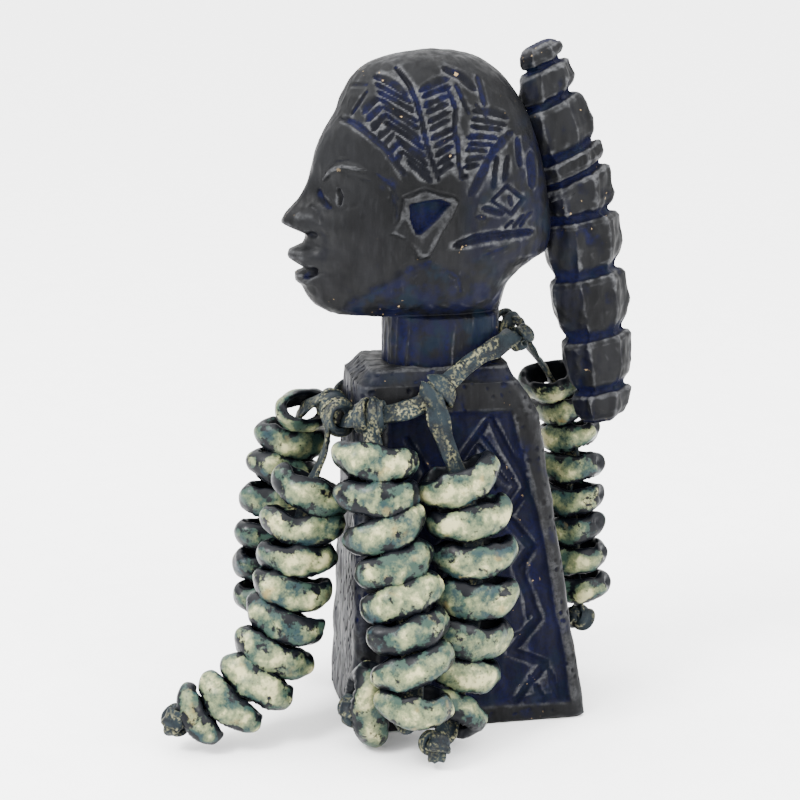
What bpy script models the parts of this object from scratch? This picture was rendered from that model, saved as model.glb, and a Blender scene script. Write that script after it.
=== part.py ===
"""Fertility doll: a carved bust on a tapering block, with strands of cut cowries.

The figure faces -Y, its left side is +X, and it stands on z = 0. The sizes below
are in millimetres, and every mesh is written in metres.
"""

import math
from typing import NamedTuple

import bmesh
import bpy
from mathutils import Matrix, Vector

MM = 0.001

# Block that stands for the body
BODY_HEIGHT = 99.6
BASE_HALF_WIDTH = 22.0
BASE_FRONT = -35.0
BASE_BACK = 33.0
BASE_CHAMFER = 3.6
BASE_EDGE = 0.8
SHOULDER_HALF_WIDTH = 16.1
SHOULDER_FRONT = -31.5
SHOULDER_BACK = 13.6
SHOULDER_CHAMFER = 4.2
SHOULDER_SLOPE_HEIGHT = 11.0
SHOULDER_SLOPE_DEPTH = 5.9
COLLAR_RISE = 3.4
COLLAR_SIDE_INSET = 3.0
COLLAR_FRONT_INSET = 4.0
COLLAR_BACK_INSET = 2.4
CORNER_CUT = 0.42

# The height and half width of the block for which the neck, the head, the braid and
# the thongs' routes are drawn below. They move up and out with a larger block.
DRAWN_HEIGHT = 99.6
DRAWN_HALF_WIDTH = 22.0
RISE = BODY_HEIGHT - DRAWN_HEIGHT
SPREAD = BASE_HALF_WIDTH - DRAWN_HALF_WIDTH

# Recessed panel in each side of the block
PANEL_DEPTH = 1.1
PANEL_BORDER_SIDE = 7.8
PANEL_BORDER_BOTTOM = 6.5
PANEL_BORDER_TOP = 8.2
TOOL_REACH = 6.0

# Neck
NECK_HALF_WIDTH = 12.2
NECK_FRONT = -22.5
NECK_BACK = 10.5
NECK_TOP = 116.4
NECK_SQUARENESS = 2.5
NECK_FILLET = 0.6

# Head, as outlines of (height, value)
HEAD_HALF_WIDTH = (
    (117.2, 10.5), (121.0, 14.2), (128.0, 16.6), (138.0, 18.4), (150.0, 19.4),
    (160.0, 19.6), (168.0, 18.8), (176.0, 16.6), (182.0, 13.2), (186.0, 9.2),
    (188.3, 4.6), (189.0, 1.6),
)
HEAD_BACK = (
    (117.2, 10.8), (124.0, 12.4), (128.6, 16.6), (131.5, 20.8), (133.6, 24.0),
    (140.0, 25.0), (151.0, 23.6), (161.0, 21.4), (170.0, 18.4), (177.0, 14.6),
    (183.0, 9.6), (187.0, 3.5), (188.6, -2.5), (189.0, -6.0),
)
FACE_BASE = (
    (117.2, -35.5), (120.0, -39.0), (124.0, -40.8), (130.0, -41.8), (138.0, -42.2),
    (145.0, -41.6), (152.0, -40.2), (160.0, -39.4), (166.0, -38.2), (172.0, -35.6),
    (178.0, -33.0), (182.0, -30.6), (185.6, -26.0), (188.0, -18.0), (189.0, -10.0),
)
FACE_OUTLINE = (
    (117.2, -37.5), (120.0, -42.0), (123.0, -43.8), (125.4, -45.2), (126.6, -46.8),
    (128.4, -47.0), (129.8, -44.6), (131.4, -46.8), (133.4, -49.0), (135.0, -48.4),
    (136.8, -44.6), (139.0, -44.0), (140.8, -47.4), (142.6, -50.5), (144.4, -49.9),
    (147.0, -47.6), (150.5, -44.8), (155.5, -42.6), (161.0, -41.2), (166.0, -39.2),
    (172.0, -35.6), (178.0, -33.0), (189.0, -10.0),
)
FEATURE_HALF_WIDTH = (
    (117.2, 8.5), (124.0, 8.0), (127.5, 7.0), (133.5, 7.2), (137.0, 5.0),
    (140.5, 6.2), (143.0, 5.8), (147.0, 4.2), (152.0, 3.2), (160.0, 5.0), (189.0, 9.0),
)
HEAD_MIDDLE = -8.0
HEAD_SQUARENESS = 2.25
EYE_SIDE = 9.6
EYE_HEIGHT = 151.0
EYE_DEPTH = 1.5
EYE_REACH = 4.2

# Ears, as outlines of (y, z)
EAR_OUTLINE = (
    (-19.6, 151.4), (-14.0, 152.8), (-8.0, 152.0), (-4.6, 150.0), (-5.6, 145.0),
    (-8.6, 139.0), (-12.0, 134.8), (-15.6, 137.6), (-18.6, 143.4),
)
EAR_HOLLOW = ((-15.8, 149.6), (-8.4, 149.2), (-10.4, 142.0), (-13.0, 139.0))
EAR_FACE = 21.2
EAR_ROOT = 14.0
EAR_HOLLOW_DEPTH = 2.6

# Braid, as (notch height, outer face of the notch, front to back, half width)
BRAID_NOTCHES = (
    (184.2, 27.4, 10.5, 4.8), (174.3, 31.0, 14.5, 6.2), (159.8, 37.0, 17.0, 7.0),
    (153.5, 39.6, 18.0, 7.3), (142.4, 43.2, 19.5, 7.4), (126.1, 45.4, 20.0, 7.3),
    (108.3, 47.8, 18.4, 6.9), (92.3, 48.9, 15.8, 6.2),
)
BRAID_TOP = (190.0, 24.6, 7.0, 3.6)
BRAID_END = (82.0, 47.0, 10.5, 4.8)
BRAID_BULGE = 1.9
BRAID_BULGE_DEPTH = 1.6
BRAID_BULGE_WIDTH = 0.6
BRAID_BULGE_PLACES = (0.22, 0.68)
BRAID_LEAN = 0.5
BRAID_SIDES = 10

# Leather thongs
NECK_THONG = 3.0
STRAND_THONG = 2.6
END_KNOT = 5.6
KNOT_LENGTH = 5.5
KNOT_STEPS = 5
NECK_POINT_STEP = 4.0
STRAND_POINT_STEP = 6.0
HOOK_LENGTH = 12.0
HOOK_POINT_STEP = 1.8
NECK_ROUTE = (
    (2.9, 14.6, 109.8), (6.8, 12.6, 109.4), (11.6, 7.8, 108.0), (15.4, 0.5, 105.4),
    (18.8, -7.0, 100.7), (20.2, -14.0, 95.5), (20.4, -21.0, 93.0), (18.3, -29.4, 91.4),
    (12.6, -34.2, 89.6), (6.0, -34.6, 88.6), (0.0, -34.6, 88.3), (-6.0, -34.6, 88.6),
    (-12.6, -34.2, 89.6), (-18.3, -29.4, 91.4), (-20.4, -21.0, 93.0),
    (-20.2, -14.0, 95.5), (-18.8, -7.0, 100.7), (-15.4, 0.5, 105.4),
    (-11.6, 7.8, 108.0), (-6.8, 12.6, 109.4), (-3.2, 15.2, 108.6), (0.6, 17.6, 106.6),
)

# Cut cowries
SHELL_LENGTH = 23.5
SHELL_WIDTH = 15.6
SHELL_THICKNESS = 8.7
SHELL_END_TAPER = 0.3
SHELL_SLOT_LENGTH = 12.0
SHELL_SLOT_WIDTH = 5.6
SHELL_TOP_LENGTH = 15.5
SHELL_TOP_WIDTH = 9.0
SHELL_STEPS = 12


class Strand(NamedTuple):
    """A thong that hangs from the neck thong, and the cowries on it.

    stops are the shells' distances along the route, scales their sizes, long_axis
    the way the first shell points, lean how far the shells sag towards level and
    spins the degrees by which each of the last shells is turned round the thong.
    """

    name: str
    route: tuple
    stops: tuple
    scales: tuple
    long_axis: tuple = (0.0, 1.0, 0.0)
    lean: float = 0.0
    spins: tuple = ()


def evenly(first, pitch, count):
    """Return the distances of shells that sit a pitch apart."""
    return tuple(first + pitch * i for i in range(count))


STRANDS = (
    Strand("front_left", (
        (6.0, -34.6, 91.9), (6.2, -37.4, 91.2), (6.4, -38.6, 88.0), (6.8, -40.0, 80.0),
        (7.6, -43.6, 71.0), (8.6, -46.8, 61.0), (9.8, -48.8, 51.0), (12.0, -50.6, 42.0),
        (14.6, -53.4, 33.0), (17.0, -57.0, 24.5), (19.8, -62.0, 17.4),
        (22.0, -69.0, 12.9), (23.2, -76.5, 10.6), (23.4, -84.0, 9.0),
        (23.4, -87.5, 8.4),
    ), evenly(27.5, 9.3, 7) + (92.9, 102.0), (1.0,) * 6 + (0.97, 0.92, 0.78), lean=0.34),
    Strand("left_front", (
        (18.3, -29.4, 94.8), (20.9, -30.0, 94.4), (22.4, -30.1, 91.6),
        (24.2, -29.7, 86.0), (26.9, -29.6, 79.0), (29.5, -29.2, 70.0),
        (32.2, -27.4, 61.0), (35.0, -25.6, 52.0), (37.8, -24.0, 43.5),
        (41.0, -22.8, 35.5), (43.8, -22.4, 27.5), (45.4, -22.4, 18.6),
        (44.0, -23.6, 11.9), (38.8, -24.2, 10.6), (33.6, -25.2, 11.8),
        (31.4, -28.6, 12.6), (31.0, -34.0, 12.4), (30.4, -39.6, 10.4),
    ), evenly(17.5, 9.4, 7) + (84.2, 109.4), (1.0,) * 7 + (0.94, 1.02), spins=(84.0,)),
    Strand("left_side", (
        (19.0, -13.4, 99.5), (22.6, -13.0, 99.2), (24.4, -12.6, 96.0),
        (25.2, -10.5, 87.0), (26.0, -6.5, 76.0), (26.8, -4.0, 66.0),
        (27.8, -2.6, 56.0), (28.8, -2.2, 46.0), (29.8, -3.2, 36.0),
        (30.6, -5.2, 26.0), (32.6, -7.6, 16.6), (37.6, -10.2, 10.4),
        (43.6, -13.6, 7.8), (48.0, -17.0, 6.6), (50.0, -19.0, 6.0),
    ), evenly(30.5, 10.8, 6) + (96.8,), (1.04,) * 5 + (0.98, 0.84)),
    Strand("front_right", (
        (-5.4, -34.6, 91.9), (-6.2, -38.2, 91.6), (-8.2, -41.6, 89.0),
        (-12.4, -43.6, 86.0), (-16.4, -44.8, 82.0), (-17.3, -46.2, 76.0),
        (-16.5, -48.5, 69.0), (-15.5, -51.0, 60.5), (-14.6, -52.5, 51.5),
        (-14.2, -53.5, 43.0), (-14.0, -54.0, 34.0), (-14.0, -54.0, 25.0),
        (-14.0, -54.0, 19.0),
    ), (13.2,) + evenly(25.2, 9.5, 6), (0.8,) + (0.96,) * 6),
    Strand("back", (
        (-4.8, 14.4, 112.4), (-5.6, 17.6, 111.6), (-6.4, 19.4, 108.2),
        (-8.6, 22.8, 102.0), (-12.0, 27.4, 96.0), (-15.2, 31.8, 89.0),
        (-16.2, 35.0, 80.4), (-15.0, 36.6, 71.4), (-13.6, 36.6, 62.0),
        (-13.0, 36.6, 54.0), (-13.0, 37.2, 45.0), (-13.0, 38.0, 36.5),
        (-13.0, 39.0, 28.5), (-13.0, 40.0, 20.0), (-13.0, 40.5, 15.0),
    ), evenly(29.0, 9.25, 8), (0.86,) * 3 + (0.9,) * 5, (0.5, 0.85, 0.0)),
)

# Rings of the figure
RING_HALF = 28
FLAT_STEPS = 7
RING_FRONT_BIAS = 1.35
HEAD_LEVELS = (
    117.2, 118.6, 120.4, 122.6, 124.8, 126.2, 127.4, 128.8, 129.8, 131.0, 132.4,
    134.0, 135.6, 137.0, 139.0, 140.8, 142.4, 144.2, 146.6, 149.2, 152.0, 155.0,
    158.5, 162.0, 166.0, 170.0, 174.0, 177.6, 181.0, 183.8, 186.0, 187.6, 188.6,
)


def make_material(name, colour, roughness):
    """Return a Principled material of one colour."""
    material = bpy.data.materials.new(name)
    material.use_nodes = True
    shader = material.node_tree.nodes["Principled BSDF"]
    shader.inputs["Base Color"].default_value = (*colour, 1.0)
    shader.inputs["Roughness"].default_value = roughness
    shader.inputs["Metallic"].default_value = 0.0
    return material


def outline_at(outline, height):
    """Return an outline's value at a height, on a smooth curve through its points."""
    if height <= outline[0][0]:
        return outline[0][1]
    if height >= outline[-1][0]:
        return outline[-1][1]
    slopes = []
    for i, (z, value) in enumerate(outline):
        if i == 0 or i == len(outline) - 1:
            near = outline[i + 1] if i == 0 else outline[i - 1]
            slopes.append((near[1] - value) / (near[0] - z))
            continue
        before = (value - outline[i - 1][1]) / (z - outline[i - 1][0])
        after = (outline[i + 1][1] - value) / (outline[i + 1][0] - z)
        flat = before * after <= 0.0
        slopes.append(0.0 if flat else 2.0 * before * after / (before + after))
    for i in range(len(outline) - 1):
        z0, a = outline[i]
        z1, b = outline[i + 1]
        if height > z1:
            continue
        span = z1 - z0
        t = (height - z0) / span
        rise = a * (1 + 2 * t) * (1 - t) ** 2 + b * t * t * (3 - 2 * t)
        lean = slopes[i] * t * (1 - t) ** 2 + slopes[i + 1] * t * t * (t - 1)
        return rise + span * lean
    return outline[-1][1]


def mirrored(half):
    """Return a whole ring from its half on the +X side, front to back."""
    other = [(-x, y) for x, y in reversed(half[1:-1])]
    return half + other


def block_ring(half_width, front, back, chamfer):
    """Return a chamfered rectangle as a half ring with RING_HALF steps."""
    side_steps = RING_HALF - 2 * FLAT_STEPS - 4
    inner = half_width - chamfer
    cut = chamfer * CORNER_CUT
    run = back - front - 2 * chamfer
    half = [(inner * i / FLAT_STEPS, front) for i in range(FLAT_STEPS + 1)]
    half.append((half_width - cut, front + cut))
    for i in range(side_steps + 1):
        half.append((half_width, front + chamfer + run * i / side_steps))
    half.append((half_width - cut, back - cut))
    for i in range(FLAT_STEPS + 1):
        half.append((inner * (FLAT_STEPS - i) / FLAT_STEPS, back))
    return mirrored(half)


def oval_point(step, half_width, front, middle, back, squareness):
    """Return one point of an oval half ring, with its steps closer at the front."""
    turn = math.pi * (step / RING_HALF) ** RING_FRONT_BIAS
    power = 2.0 / squareness
    x = half_width * max(math.sin(turn), 0.0) ** power
    along = math.copysign(abs(math.cos(turn)) ** power, math.cos(turn))
    reach = middle - front if along > 0 else back - middle
    return x, middle - reach * along


def neck_ring():
    """Return the neck's oval ring."""
    middle = (NECK_FRONT + NECK_BACK) / 2
    half = []
    for step in range(RING_HALF + 1):
        half.append(oval_point(
            step, NECK_HALF_WIDTH, NECK_FRONT, middle, NECK_BACK, NECK_SQUARENESS))
    return mirrored(half)


def head_ring(height):
    """Return the head's ring at a drawn height, with the nose, lips, chin and eyes."""
    half_width = outline_at(HEAD_HALF_WIDTH, height)
    front = outline_at(FACE_BASE, height)
    back = outline_at(HEAD_BACK, height)
    proud = front - outline_at(FACE_OUTLINE, height)
    feature = outline_at(FEATURE_HALF_WIDTH, height)
    half = []
    for step in range(RING_HALF + 1):
        x, y = oval_point(
            step, half_width, front, HEAD_MIDDLE, back, HEAD_SQUARENESS)
        if y < HEAD_MIDDLE:
            y -= proud / (1.0 + (x / feature) ** 4)
            gap = math.hypot(x - EYE_SIDE, height - EYE_HEIGHT) / EYE_REACH
            y += EYE_DEPTH * math.exp(-gap * gap)
        half.append((x, y))
    return mirrored(half)


def figure_rings():
    """Return every ring of the body, neck and head as (height, points)."""
    slope_foot = BODY_HEIGHT - SHOULDER_SLOPE_HEIGHT
    share = slope_foot / BODY_HEIGHT
    waist_width = BASE_HALF_WIDTH + (SHOULDER_HALF_WIDTH - BASE_HALF_WIDTH) * share
    waist_front = BASE_FRONT + (SHOULDER_FRONT - BASE_FRONT) * share
    waist_back = SHOULDER_BACK + SHOULDER_SLOPE_DEPTH
    edge = BASE_EDGE
    rings = [
        (0.0, block_ring(
            BASE_HALF_WIDTH - edge, BASE_FRONT + edge, BASE_BACK - edge,
            BASE_CHAMFER)),
        (edge, block_ring(BASE_HALF_WIDTH, BASE_FRONT, BASE_BACK, BASE_CHAMFER)),
        (slope_foot, block_ring(
            waist_width, waist_front, waist_back, SHOULDER_CHAMFER)),
        (BODY_HEIGHT - edge, block_ring(
            SHOULDER_HALF_WIDTH, SHOULDER_FRONT, SHOULDER_BACK, SHOULDER_CHAMFER)),
        (BODY_HEIGHT, block_ring(
            SHOULDER_HALF_WIDTH - edge, SHOULDER_FRONT + edge, SHOULDER_BACK - edge,
            SHOULDER_CHAMFER)),
        (BODY_HEIGHT + COLLAR_RISE, block_ring(
            SHOULDER_HALF_WIDTH - COLLAR_SIDE_INSET,
            SHOULDER_FRONT + COLLAR_FRONT_INSET,
            SHOULDER_BACK - COLLAR_BACK_INSET, SHOULDER_CHAMFER)),
    ]
    neck_foot = BODY_HEIGHT + COLLAR_RISE
    neck_top = NECK_TOP + RISE
    for height in (neck_foot + NECK_FILLET, (neck_foot + neck_top) / 2, neck_top):
        rings.append((height, neck_ring()))
    for height in HEAD_LEVELS:
        rings.append((height + RISE, head_ring(height)))
    return rings


def mesh_object(name, mesh_name, build):
    """Return a new object whose mesh a function fills."""
    mesh = bpy.data.meshes.new(mesh_name)
    work = bmesh.new()
    build(work)
    bmesh.ops.recalc_face_normals(work, faces=work.faces)
    work.to_mesh(mesh)
    work.free()
    thing = bpy.data.objects.new(name, mesh)
    bpy.context.scene.collection.objects.link(thing)
    return thing


def loft(work, rings):
    """Skin a list of closed rings of Vectors and cap both ends."""
    rows = []
    for ring in rings:
        rows.append([work.verts.new(point * MM) for point in ring])
    count = len(rows[0])
    for low, high in zip(rows, rows[1:]):
        for i in range(count):
            j = (i + 1) % count
            work.faces.new((low[i], low[j], high[j], high[i]))
    for row in (rows[0], rows[-1]):
        centre = Vector((0.0, 0.0, 0.0))
        for vertex in row:
            centre += vertex.co
        middle = work.verts.new(centre / count)
        for i in range(count):
            work.faces.new((row[i], row[(i + 1) % count], middle))


def as_cutter(thing):
    """Hide a helper object from renders."""
    thing.display_type = "WIRE"
    thing.hide_render = True
    thing.hide_viewport = False


def add_boolean(target, tool, operation):
    """Add an exact boolean of a helper to an object."""
    modifier = target.modifiers.new(tool.name, "BOOLEAN")
    modifier.operation = operation
    modifier.solver = "EXACT"
    modifier.object = tool


def prism(name, outline, near, far):
    """Return a helper prism with a drawn outline of (y, z), between two x values."""

    def build(work):
        rings = []
        for x in (near, far):
            rings.append([Vector((x, y, z + RISE)) for y, z in outline])
        loft(work, rings)

    thing = mesh_object(name, name, build)
    as_cutter(thing)
    return thing


def braid_levels():
    """Return the braid's rings as (height, outer face, depth, half width)."""
    stops = (BRAID_TOP,) + BRAID_NOTCHES + (BRAID_END,)
    levels = [stops[0]]
    for upper, lower in zip(stops, stops[1:]):
        for share in BRAID_BULGE_PLACES:
            mixed = [a + (b - a) * share for a, b in zip(upper, lower)]
            mixed[1] += BRAID_BULGE
            mixed[2] += BRAID_BULGE * BRAID_BULGE_DEPTH
            mixed[3] += BRAID_BULGE * BRAID_BULGE_WIDTH
            levels.append(tuple(mixed))
        levels.append(lower)
    return levels


def build_braid(work):
    """Fill a mesh with the braid's notched lengths."""
    levels = braid_levels()
    rings = []
    for i, (height, outer, depth, half_width) in enumerate(levels):
        after = levels[min(i + 1, len(levels) - 1)]
        before = levels[max(i - 1, 0)]
        drop = before[0] - after[0]
        shift = (after[1] - after[2] / 2) - (before[1] - before[2] / 2)
        lean = shift / drop * BRAID_LEAN
        ring = []
        for k in range(BRAID_SIDES):
            turn = 2 * math.pi * (k + 0.5) / BRAID_SIDES
            along = math.sin(turn) * depth / 2
            y = outer - depth / 2 + along
            z = height + RISE + along * lean
            ring.append(Vector((half_width * math.cos(turn), y, z)))
        rings.append(ring)
    loft(work, rings)


def build_figure(wood):
    """Build the carved figure, which is one block of wood."""

    def build(work):
        rings = []
        for height, points in figure_rings():
            rings.append([Vector((x, y, height)) for x, y in points])
        loft(work, rings)

    figure = mesh_object("carved_figure", "carved_figure", build)
    figure.data.materials.append(wood)
    braid = mesh_object("braid_tool", "braid_tool", build_braid)
    as_cutter(braid)
    add_boolean(figure, braid, "UNION")
    floor = EAR_FACE - EAR_HOLLOW_DEPTH
    for side, label in ((1, "left"), (-1, "right")):
        ear = prism("ear_tool_" + label, EAR_OUTLINE, side * EAR_ROOT, side * EAR_FACE)
        add_boolean(figure, ear, "UNION")
        hollow = prism(
            "ear_hollow_tool_" + label, EAR_HOLLOW, side * floor,
            side * (EAR_FACE + TOOL_REACH))
        add_boolean(figure, hollow, "DIFFERENCE")
        panel = panel_tool("panel_tool_" + label, side)
        add_boolean(figure, panel, "DIFFERENCE")
    return figure


def panel_tool(name, side):
    """Return the helper that sinks a panel into one sloping side of the block."""
    low = PANEL_BORDER_BOTTOM
    high = BODY_HEIGHT - PANEL_BORDER_TOP
    share_low = low / BODY_HEIGHT
    share_high = high / BODY_HEIGHT

    def edge(value_low, value_high, share):
        return value_low + (value_high - value_low) * share

    back_top = SHOULDER_BACK + SHOULDER_SLOPE_DEPTH
    back_share = BODY_HEIGHT / (BODY_HEIGHT - SHOULDER_SLOPE_HEIGHT)
    corners = []
    for share, height in ((share_low, low), (share_high, high)):
        front = edge(BASE_FRONT, SHOULDER_FRONT, share)
        back = edge(BASE_BACK, back_top, share * back_share)
        face = edge(BASE_HALF_WIDTH, SHOULDER_HALF_WIDTH, share)
        corners.append((face - PANEL_DEPTH, front + PANEL_BORDER_SIDE, height))
        corners.append((face - PANEL_DEPTH, back - PANEL_BORDER_SIDE, height))

    def build(work):
        a, b, c, d = corners
        ring_inner = [Vector((side * p[0], p[1], p[2])) for p in (a, b, d, c)]
        ring_outer = [p + Vector((side * TOOL_REACH, 0.0, 0.0)) for p in ring_inner]
        loft(work, [ring_inner, ring_outer])

    thing = mesh_object(name, name, build)
    as_cutter(thing)
    return thing


def fitted(point):
    """Return a drawn point of a route, moved up and out with a larger block."""
    x, y, z = point
    share = max(0.0, 1.0 - z / DRAWN_HEIGHT)
    return Vector((x + math.copysign(SPREAD * share, x), y, z + RISE))


def fine_route(route):
    """Return closely spaced points on a smooth curve through a route's points."""
    knots = [fitted(point) for point in route]
    knots.insert(0, knots[0] * 2 - knots[1])
    knots.append(knots[-1] * 2 - knots[-2])
    fine = []
    for i in range(1, len(knots) - 2):
        a, b, c, d = knots[i - 1:i + 3]
        for k in range(24):
            t = k / 24
            fine.append(0.5 * (
                2 * b + (c - a) * t + (2 * a - 5 * b + 4 * c - d) * t * t
                + (3 * b - 3 * c + d - a) * t ** 3))
    fine.append(knots[-2])
    return fine


def travelled_lengths(fine):
    """Return the distance travelled at each point of a finely divided route."""
    lengths = [0.0]
    for a, b in zip(fine, fine[1:]):
        lengths.append(lengths[-1] + (b - a).length)
    return lengths


def point_along(fine, lengths, distance):
    """Return the point at a distance along a finely divided route."""
    for i in range(len(fine) - 1):
        if lengths[i + 1] >= distance:
            span = lengths[i + 1] - lengths[i]
            share = 0.0 if span == 0.0 else (distance - lengths[i]) / span
            return fine[i].lerp(fine[i + 1], share)
    return fine[-1].copy()


def thong_stops(total, hook, step):
    """Return the distances of a thong's points: close at its hook and its knot."""
    stops = []
    at = 0.0
    while at < total - KNOT_LENGTH - HOOK_POINT_STEP:
        stops.append(at)
        at += HOOK_POINT_STEP if at < hook else step
    for i in range(KNOT_STEPS + 1):
        stops.append(total - KNOT_LENGTH * (1 - i / KNOT_STEPS))
    return stops


def build_thong(name, route, diameter, hook, step, leather):
    """Build a leather thong as a round tube that swells into its end knot."""
    fine = fine_route(route)
    lengths = travelled_lengths(fine)
    total = lengths[-1]
    stops = thong_stops(total, hook, step)
    curve = bpy.data.curves.new(name, "CURVE")
    curve.dimensions = "3D"
    curve.bevel_depth = diameter / 2 * MM
    curve.bevel_resolution = 2
    curve.render_resolution_u = 0
    curve.use_fill_caps = True
    spline = curve.splines.new("POLY")
    spline.points.add(len(stops) - 1)
    for i, stop in enumerate(stops):
        point = point_along(fine, lengths, stop)
        spline.points[i].co = (*(point * MM), 1.0)
        near_end = min(1.0, (total - stop) / KNOT_LENGTH)
        swell = math.sin(math.pi * near_end)
        spline.points[i].radius = 1.0 + (END_KNOT / diameter - 1.0) * swell
    thong = bpy.data.objects.new(name, curve)
    bpy.context.scene.collection.objects.link(thong)
    curve.materials.append(leather)
    return thong


def shell_section(turn, scale):
    """Return the cross-section of a cut cowrie's wall at an angle round it."""
    blunt = 1.0 + 0.10 * math.cos(turn)
    c, s = math.cos(turn), math.sin(turn) * blunt
    outer = Vector((c * SHELL_LENGTH / 2, s * SHELL_WIDTH / 2, 0.0)) * scale
    slot = Vector((c * SHELL_SLOT_LENGTH / 2, s * SHELL_SLOT_WIDTH / 2, 0.0)) * scale
    top = Vector((c * SHELL_TOP_LENGTH / 2, s * SHELL_TOP_WIDTH / 2, 0.0)) * scale
    half = SHELL_THICKNESS / 2 * scale * (1.0 - SHELL_END_TAPER * c * c)
    wall = outer - top
    return [
        outer - Vector((0, 0, half * 0.15)),
        outer * 0.9 + top * 0.1 + Vector((0, 0, half * 0.62)),
        top + wall * 0.25 + Vector((0, 0, half)),
        top * 0.6 + slot * 0.4 + Vector((0, 0, half * 0.2)),
        slot + Vector((0, 0, -half * 0.75)),
        outer * 0.62 + slot * 0.38 + Vector((0, 0, -half)),
    ]


def build_shell(name, place, scale, ivory):
    """Build one cowrie, cut open on top, as a ring with a slot through it."""

    def build(work):
        rows = []
        for i in range(SHELL_STEPS):
            section = shell_section(2 * math.pi * i / SHELL_STEPS, scale)
            rows.append([work.verts.new(point * MM) for point in section])
        count = len(rows[0])
        for i in range(SHELL_STEPS):
            near, far = rows[i], rows[(i + 1) % SHELL_STEPS]
            for k in range(count):
                m = (k + 1) % count
                work.faces.new((near[k], near[m], far[m], far[k]))

    shell = mesh_object(name, name, build)
    shell.data.materials.append(ivory)
    placed = place.copy()
    placed.translation = placed.translation * MM
    shell.matrix_world = placed
    return shell


def strand_places(strand):
    """Return a matrix for each shell of a strand, square to its thong or sagging."""
    fine = fine_route(strand.route)
    lengths = travelled_lengths(fine)
    step = 1.0
    tangent = None
    axis = Vector(strand.long_axis)
    spins = (0.0,) * (len(strand.stops) - len(strand.spins)) + strand.spins
    places = []
    at = strand.stops[0]
    for stop in strand.stops:
        while at <= stop:
            ahead = point_along(fine, lengths, at + step / 2)
            behind = point_along(fine, lengths, at - step / 2)
            fresh = (ahead - behind).normalized()
            if tangent is not None:
                axis = tangent.rotation_difference(fresh) @ axis
            axis = (axis - fresh * axis.dot(fresh)).normalized()
            tangent = fresh
            at += step
        down = Vector((0.0, 0.0, -1.0))
        normal = tangent.lerp(down, strand.lean).normalized()
        long_way = tangent.rotation_difference(normal) @ axis
        side = (-normal).cross(long_way)
        turn = Matrix((long_way, side, -normal)).transposed().to_4x4()
        spin = spins[len(places)] * math.pi / 180.0
        turn = turn @ Matrix.Rotation(spin, 4, "Z")
        spot = point_along(fine, lengths, stop)
        places.append(Matrix.Translation(spot) @ turn)
    return places


def build_strand(strand, leather, ivory):
    """Build one strand: its thong and the cowries on it."""
    build_thong(
        "thong_" + strand.name, strand.route, STRAND_THONG, HOOK_LENGTH,
        STRAND_POINT_STEP, leather)
    for i, place in enumerate(strand_places(strand)):
        name = f"cowrie_{strand.name}_{i + 1:02d}"
        build_shell(name, place, strand.scales[i], ivory)


def main():
    """Build the whole doll."""
    for thing in list(bpy.data.objects):
        bpy.data.objects.remove(thing)
    wood = make_material("indigo_wood", (0.022, 0.026, 0.045), 0.62)
    leather = make_material("dyed_leather", (0.055, 0.085, 0.12), 0.6)
    ivory = make_material("cowrie_shell", (0.52, 0.55, 0.46), 0.38)
    build_figure(wood)
    build_thong("neck_thong", NECK_ROUTE, NECK_THONG, 0.0, NECK_POINT_STEP, leather)
    for strand in STRANDS:
        build_strand(strand, leather, ivory)


main()
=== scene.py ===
"""Looks of a fertility doll: a carved, dyed wooden bust with strands of cut cowries.

Sizes in the classes are in millimetres and every mesh is written in metres. The
figure faces -Y, its left side is +X and it stands on z = 0.
"""

import logging
import math
from dataclasses import dataclass, field
from enum import Enum
from typing import Callable, Iterable, NamedTuple, Sequence

import bpy
import numpy as np
from mathutils import Matrix, Vector


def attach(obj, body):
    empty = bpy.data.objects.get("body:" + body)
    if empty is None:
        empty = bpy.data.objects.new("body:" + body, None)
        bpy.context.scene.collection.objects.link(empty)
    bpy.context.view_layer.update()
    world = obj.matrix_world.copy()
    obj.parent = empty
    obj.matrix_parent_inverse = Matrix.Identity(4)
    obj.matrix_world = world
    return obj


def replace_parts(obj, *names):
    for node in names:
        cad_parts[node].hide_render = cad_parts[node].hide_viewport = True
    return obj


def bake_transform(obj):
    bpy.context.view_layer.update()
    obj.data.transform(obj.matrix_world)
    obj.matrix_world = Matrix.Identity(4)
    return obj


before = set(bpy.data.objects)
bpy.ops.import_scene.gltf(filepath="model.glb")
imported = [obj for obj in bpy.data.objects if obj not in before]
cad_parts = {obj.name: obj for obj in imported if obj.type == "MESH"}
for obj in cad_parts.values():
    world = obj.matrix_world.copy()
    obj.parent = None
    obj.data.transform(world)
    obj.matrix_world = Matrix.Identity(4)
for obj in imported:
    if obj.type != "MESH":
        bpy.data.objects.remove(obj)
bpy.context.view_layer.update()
MM = 0.001
LOG = logging.getLogger("doll")

Point2 = tuple[float, float]
Point3 = tuple[float, float, float]
Array = np.ndarray


class Slot(Enum):
    """The material slots' names."""

    WOOD = "indigo_wood"
    LEATHER = "dyed_leather"
    SHELL = "cowrie_shell"


# ---------------------------------------------------------------- shared maths


def smooth_step(low: float, high: float, value: Array) -> Array:
    """Return a soft ramp from 0 at low to 1 at high.

    Args:
        low: where the ramp starts.
        high: where the ramp ends.
        value: the numbers to place on the ramp.

    Returns:
        The ramp's values, from 0 to 1.
    """
    share = np.clip((value - low) / (high - low), 0.0, 1.0)
    return share * share * (3.0 - 2.0 * share)


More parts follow.
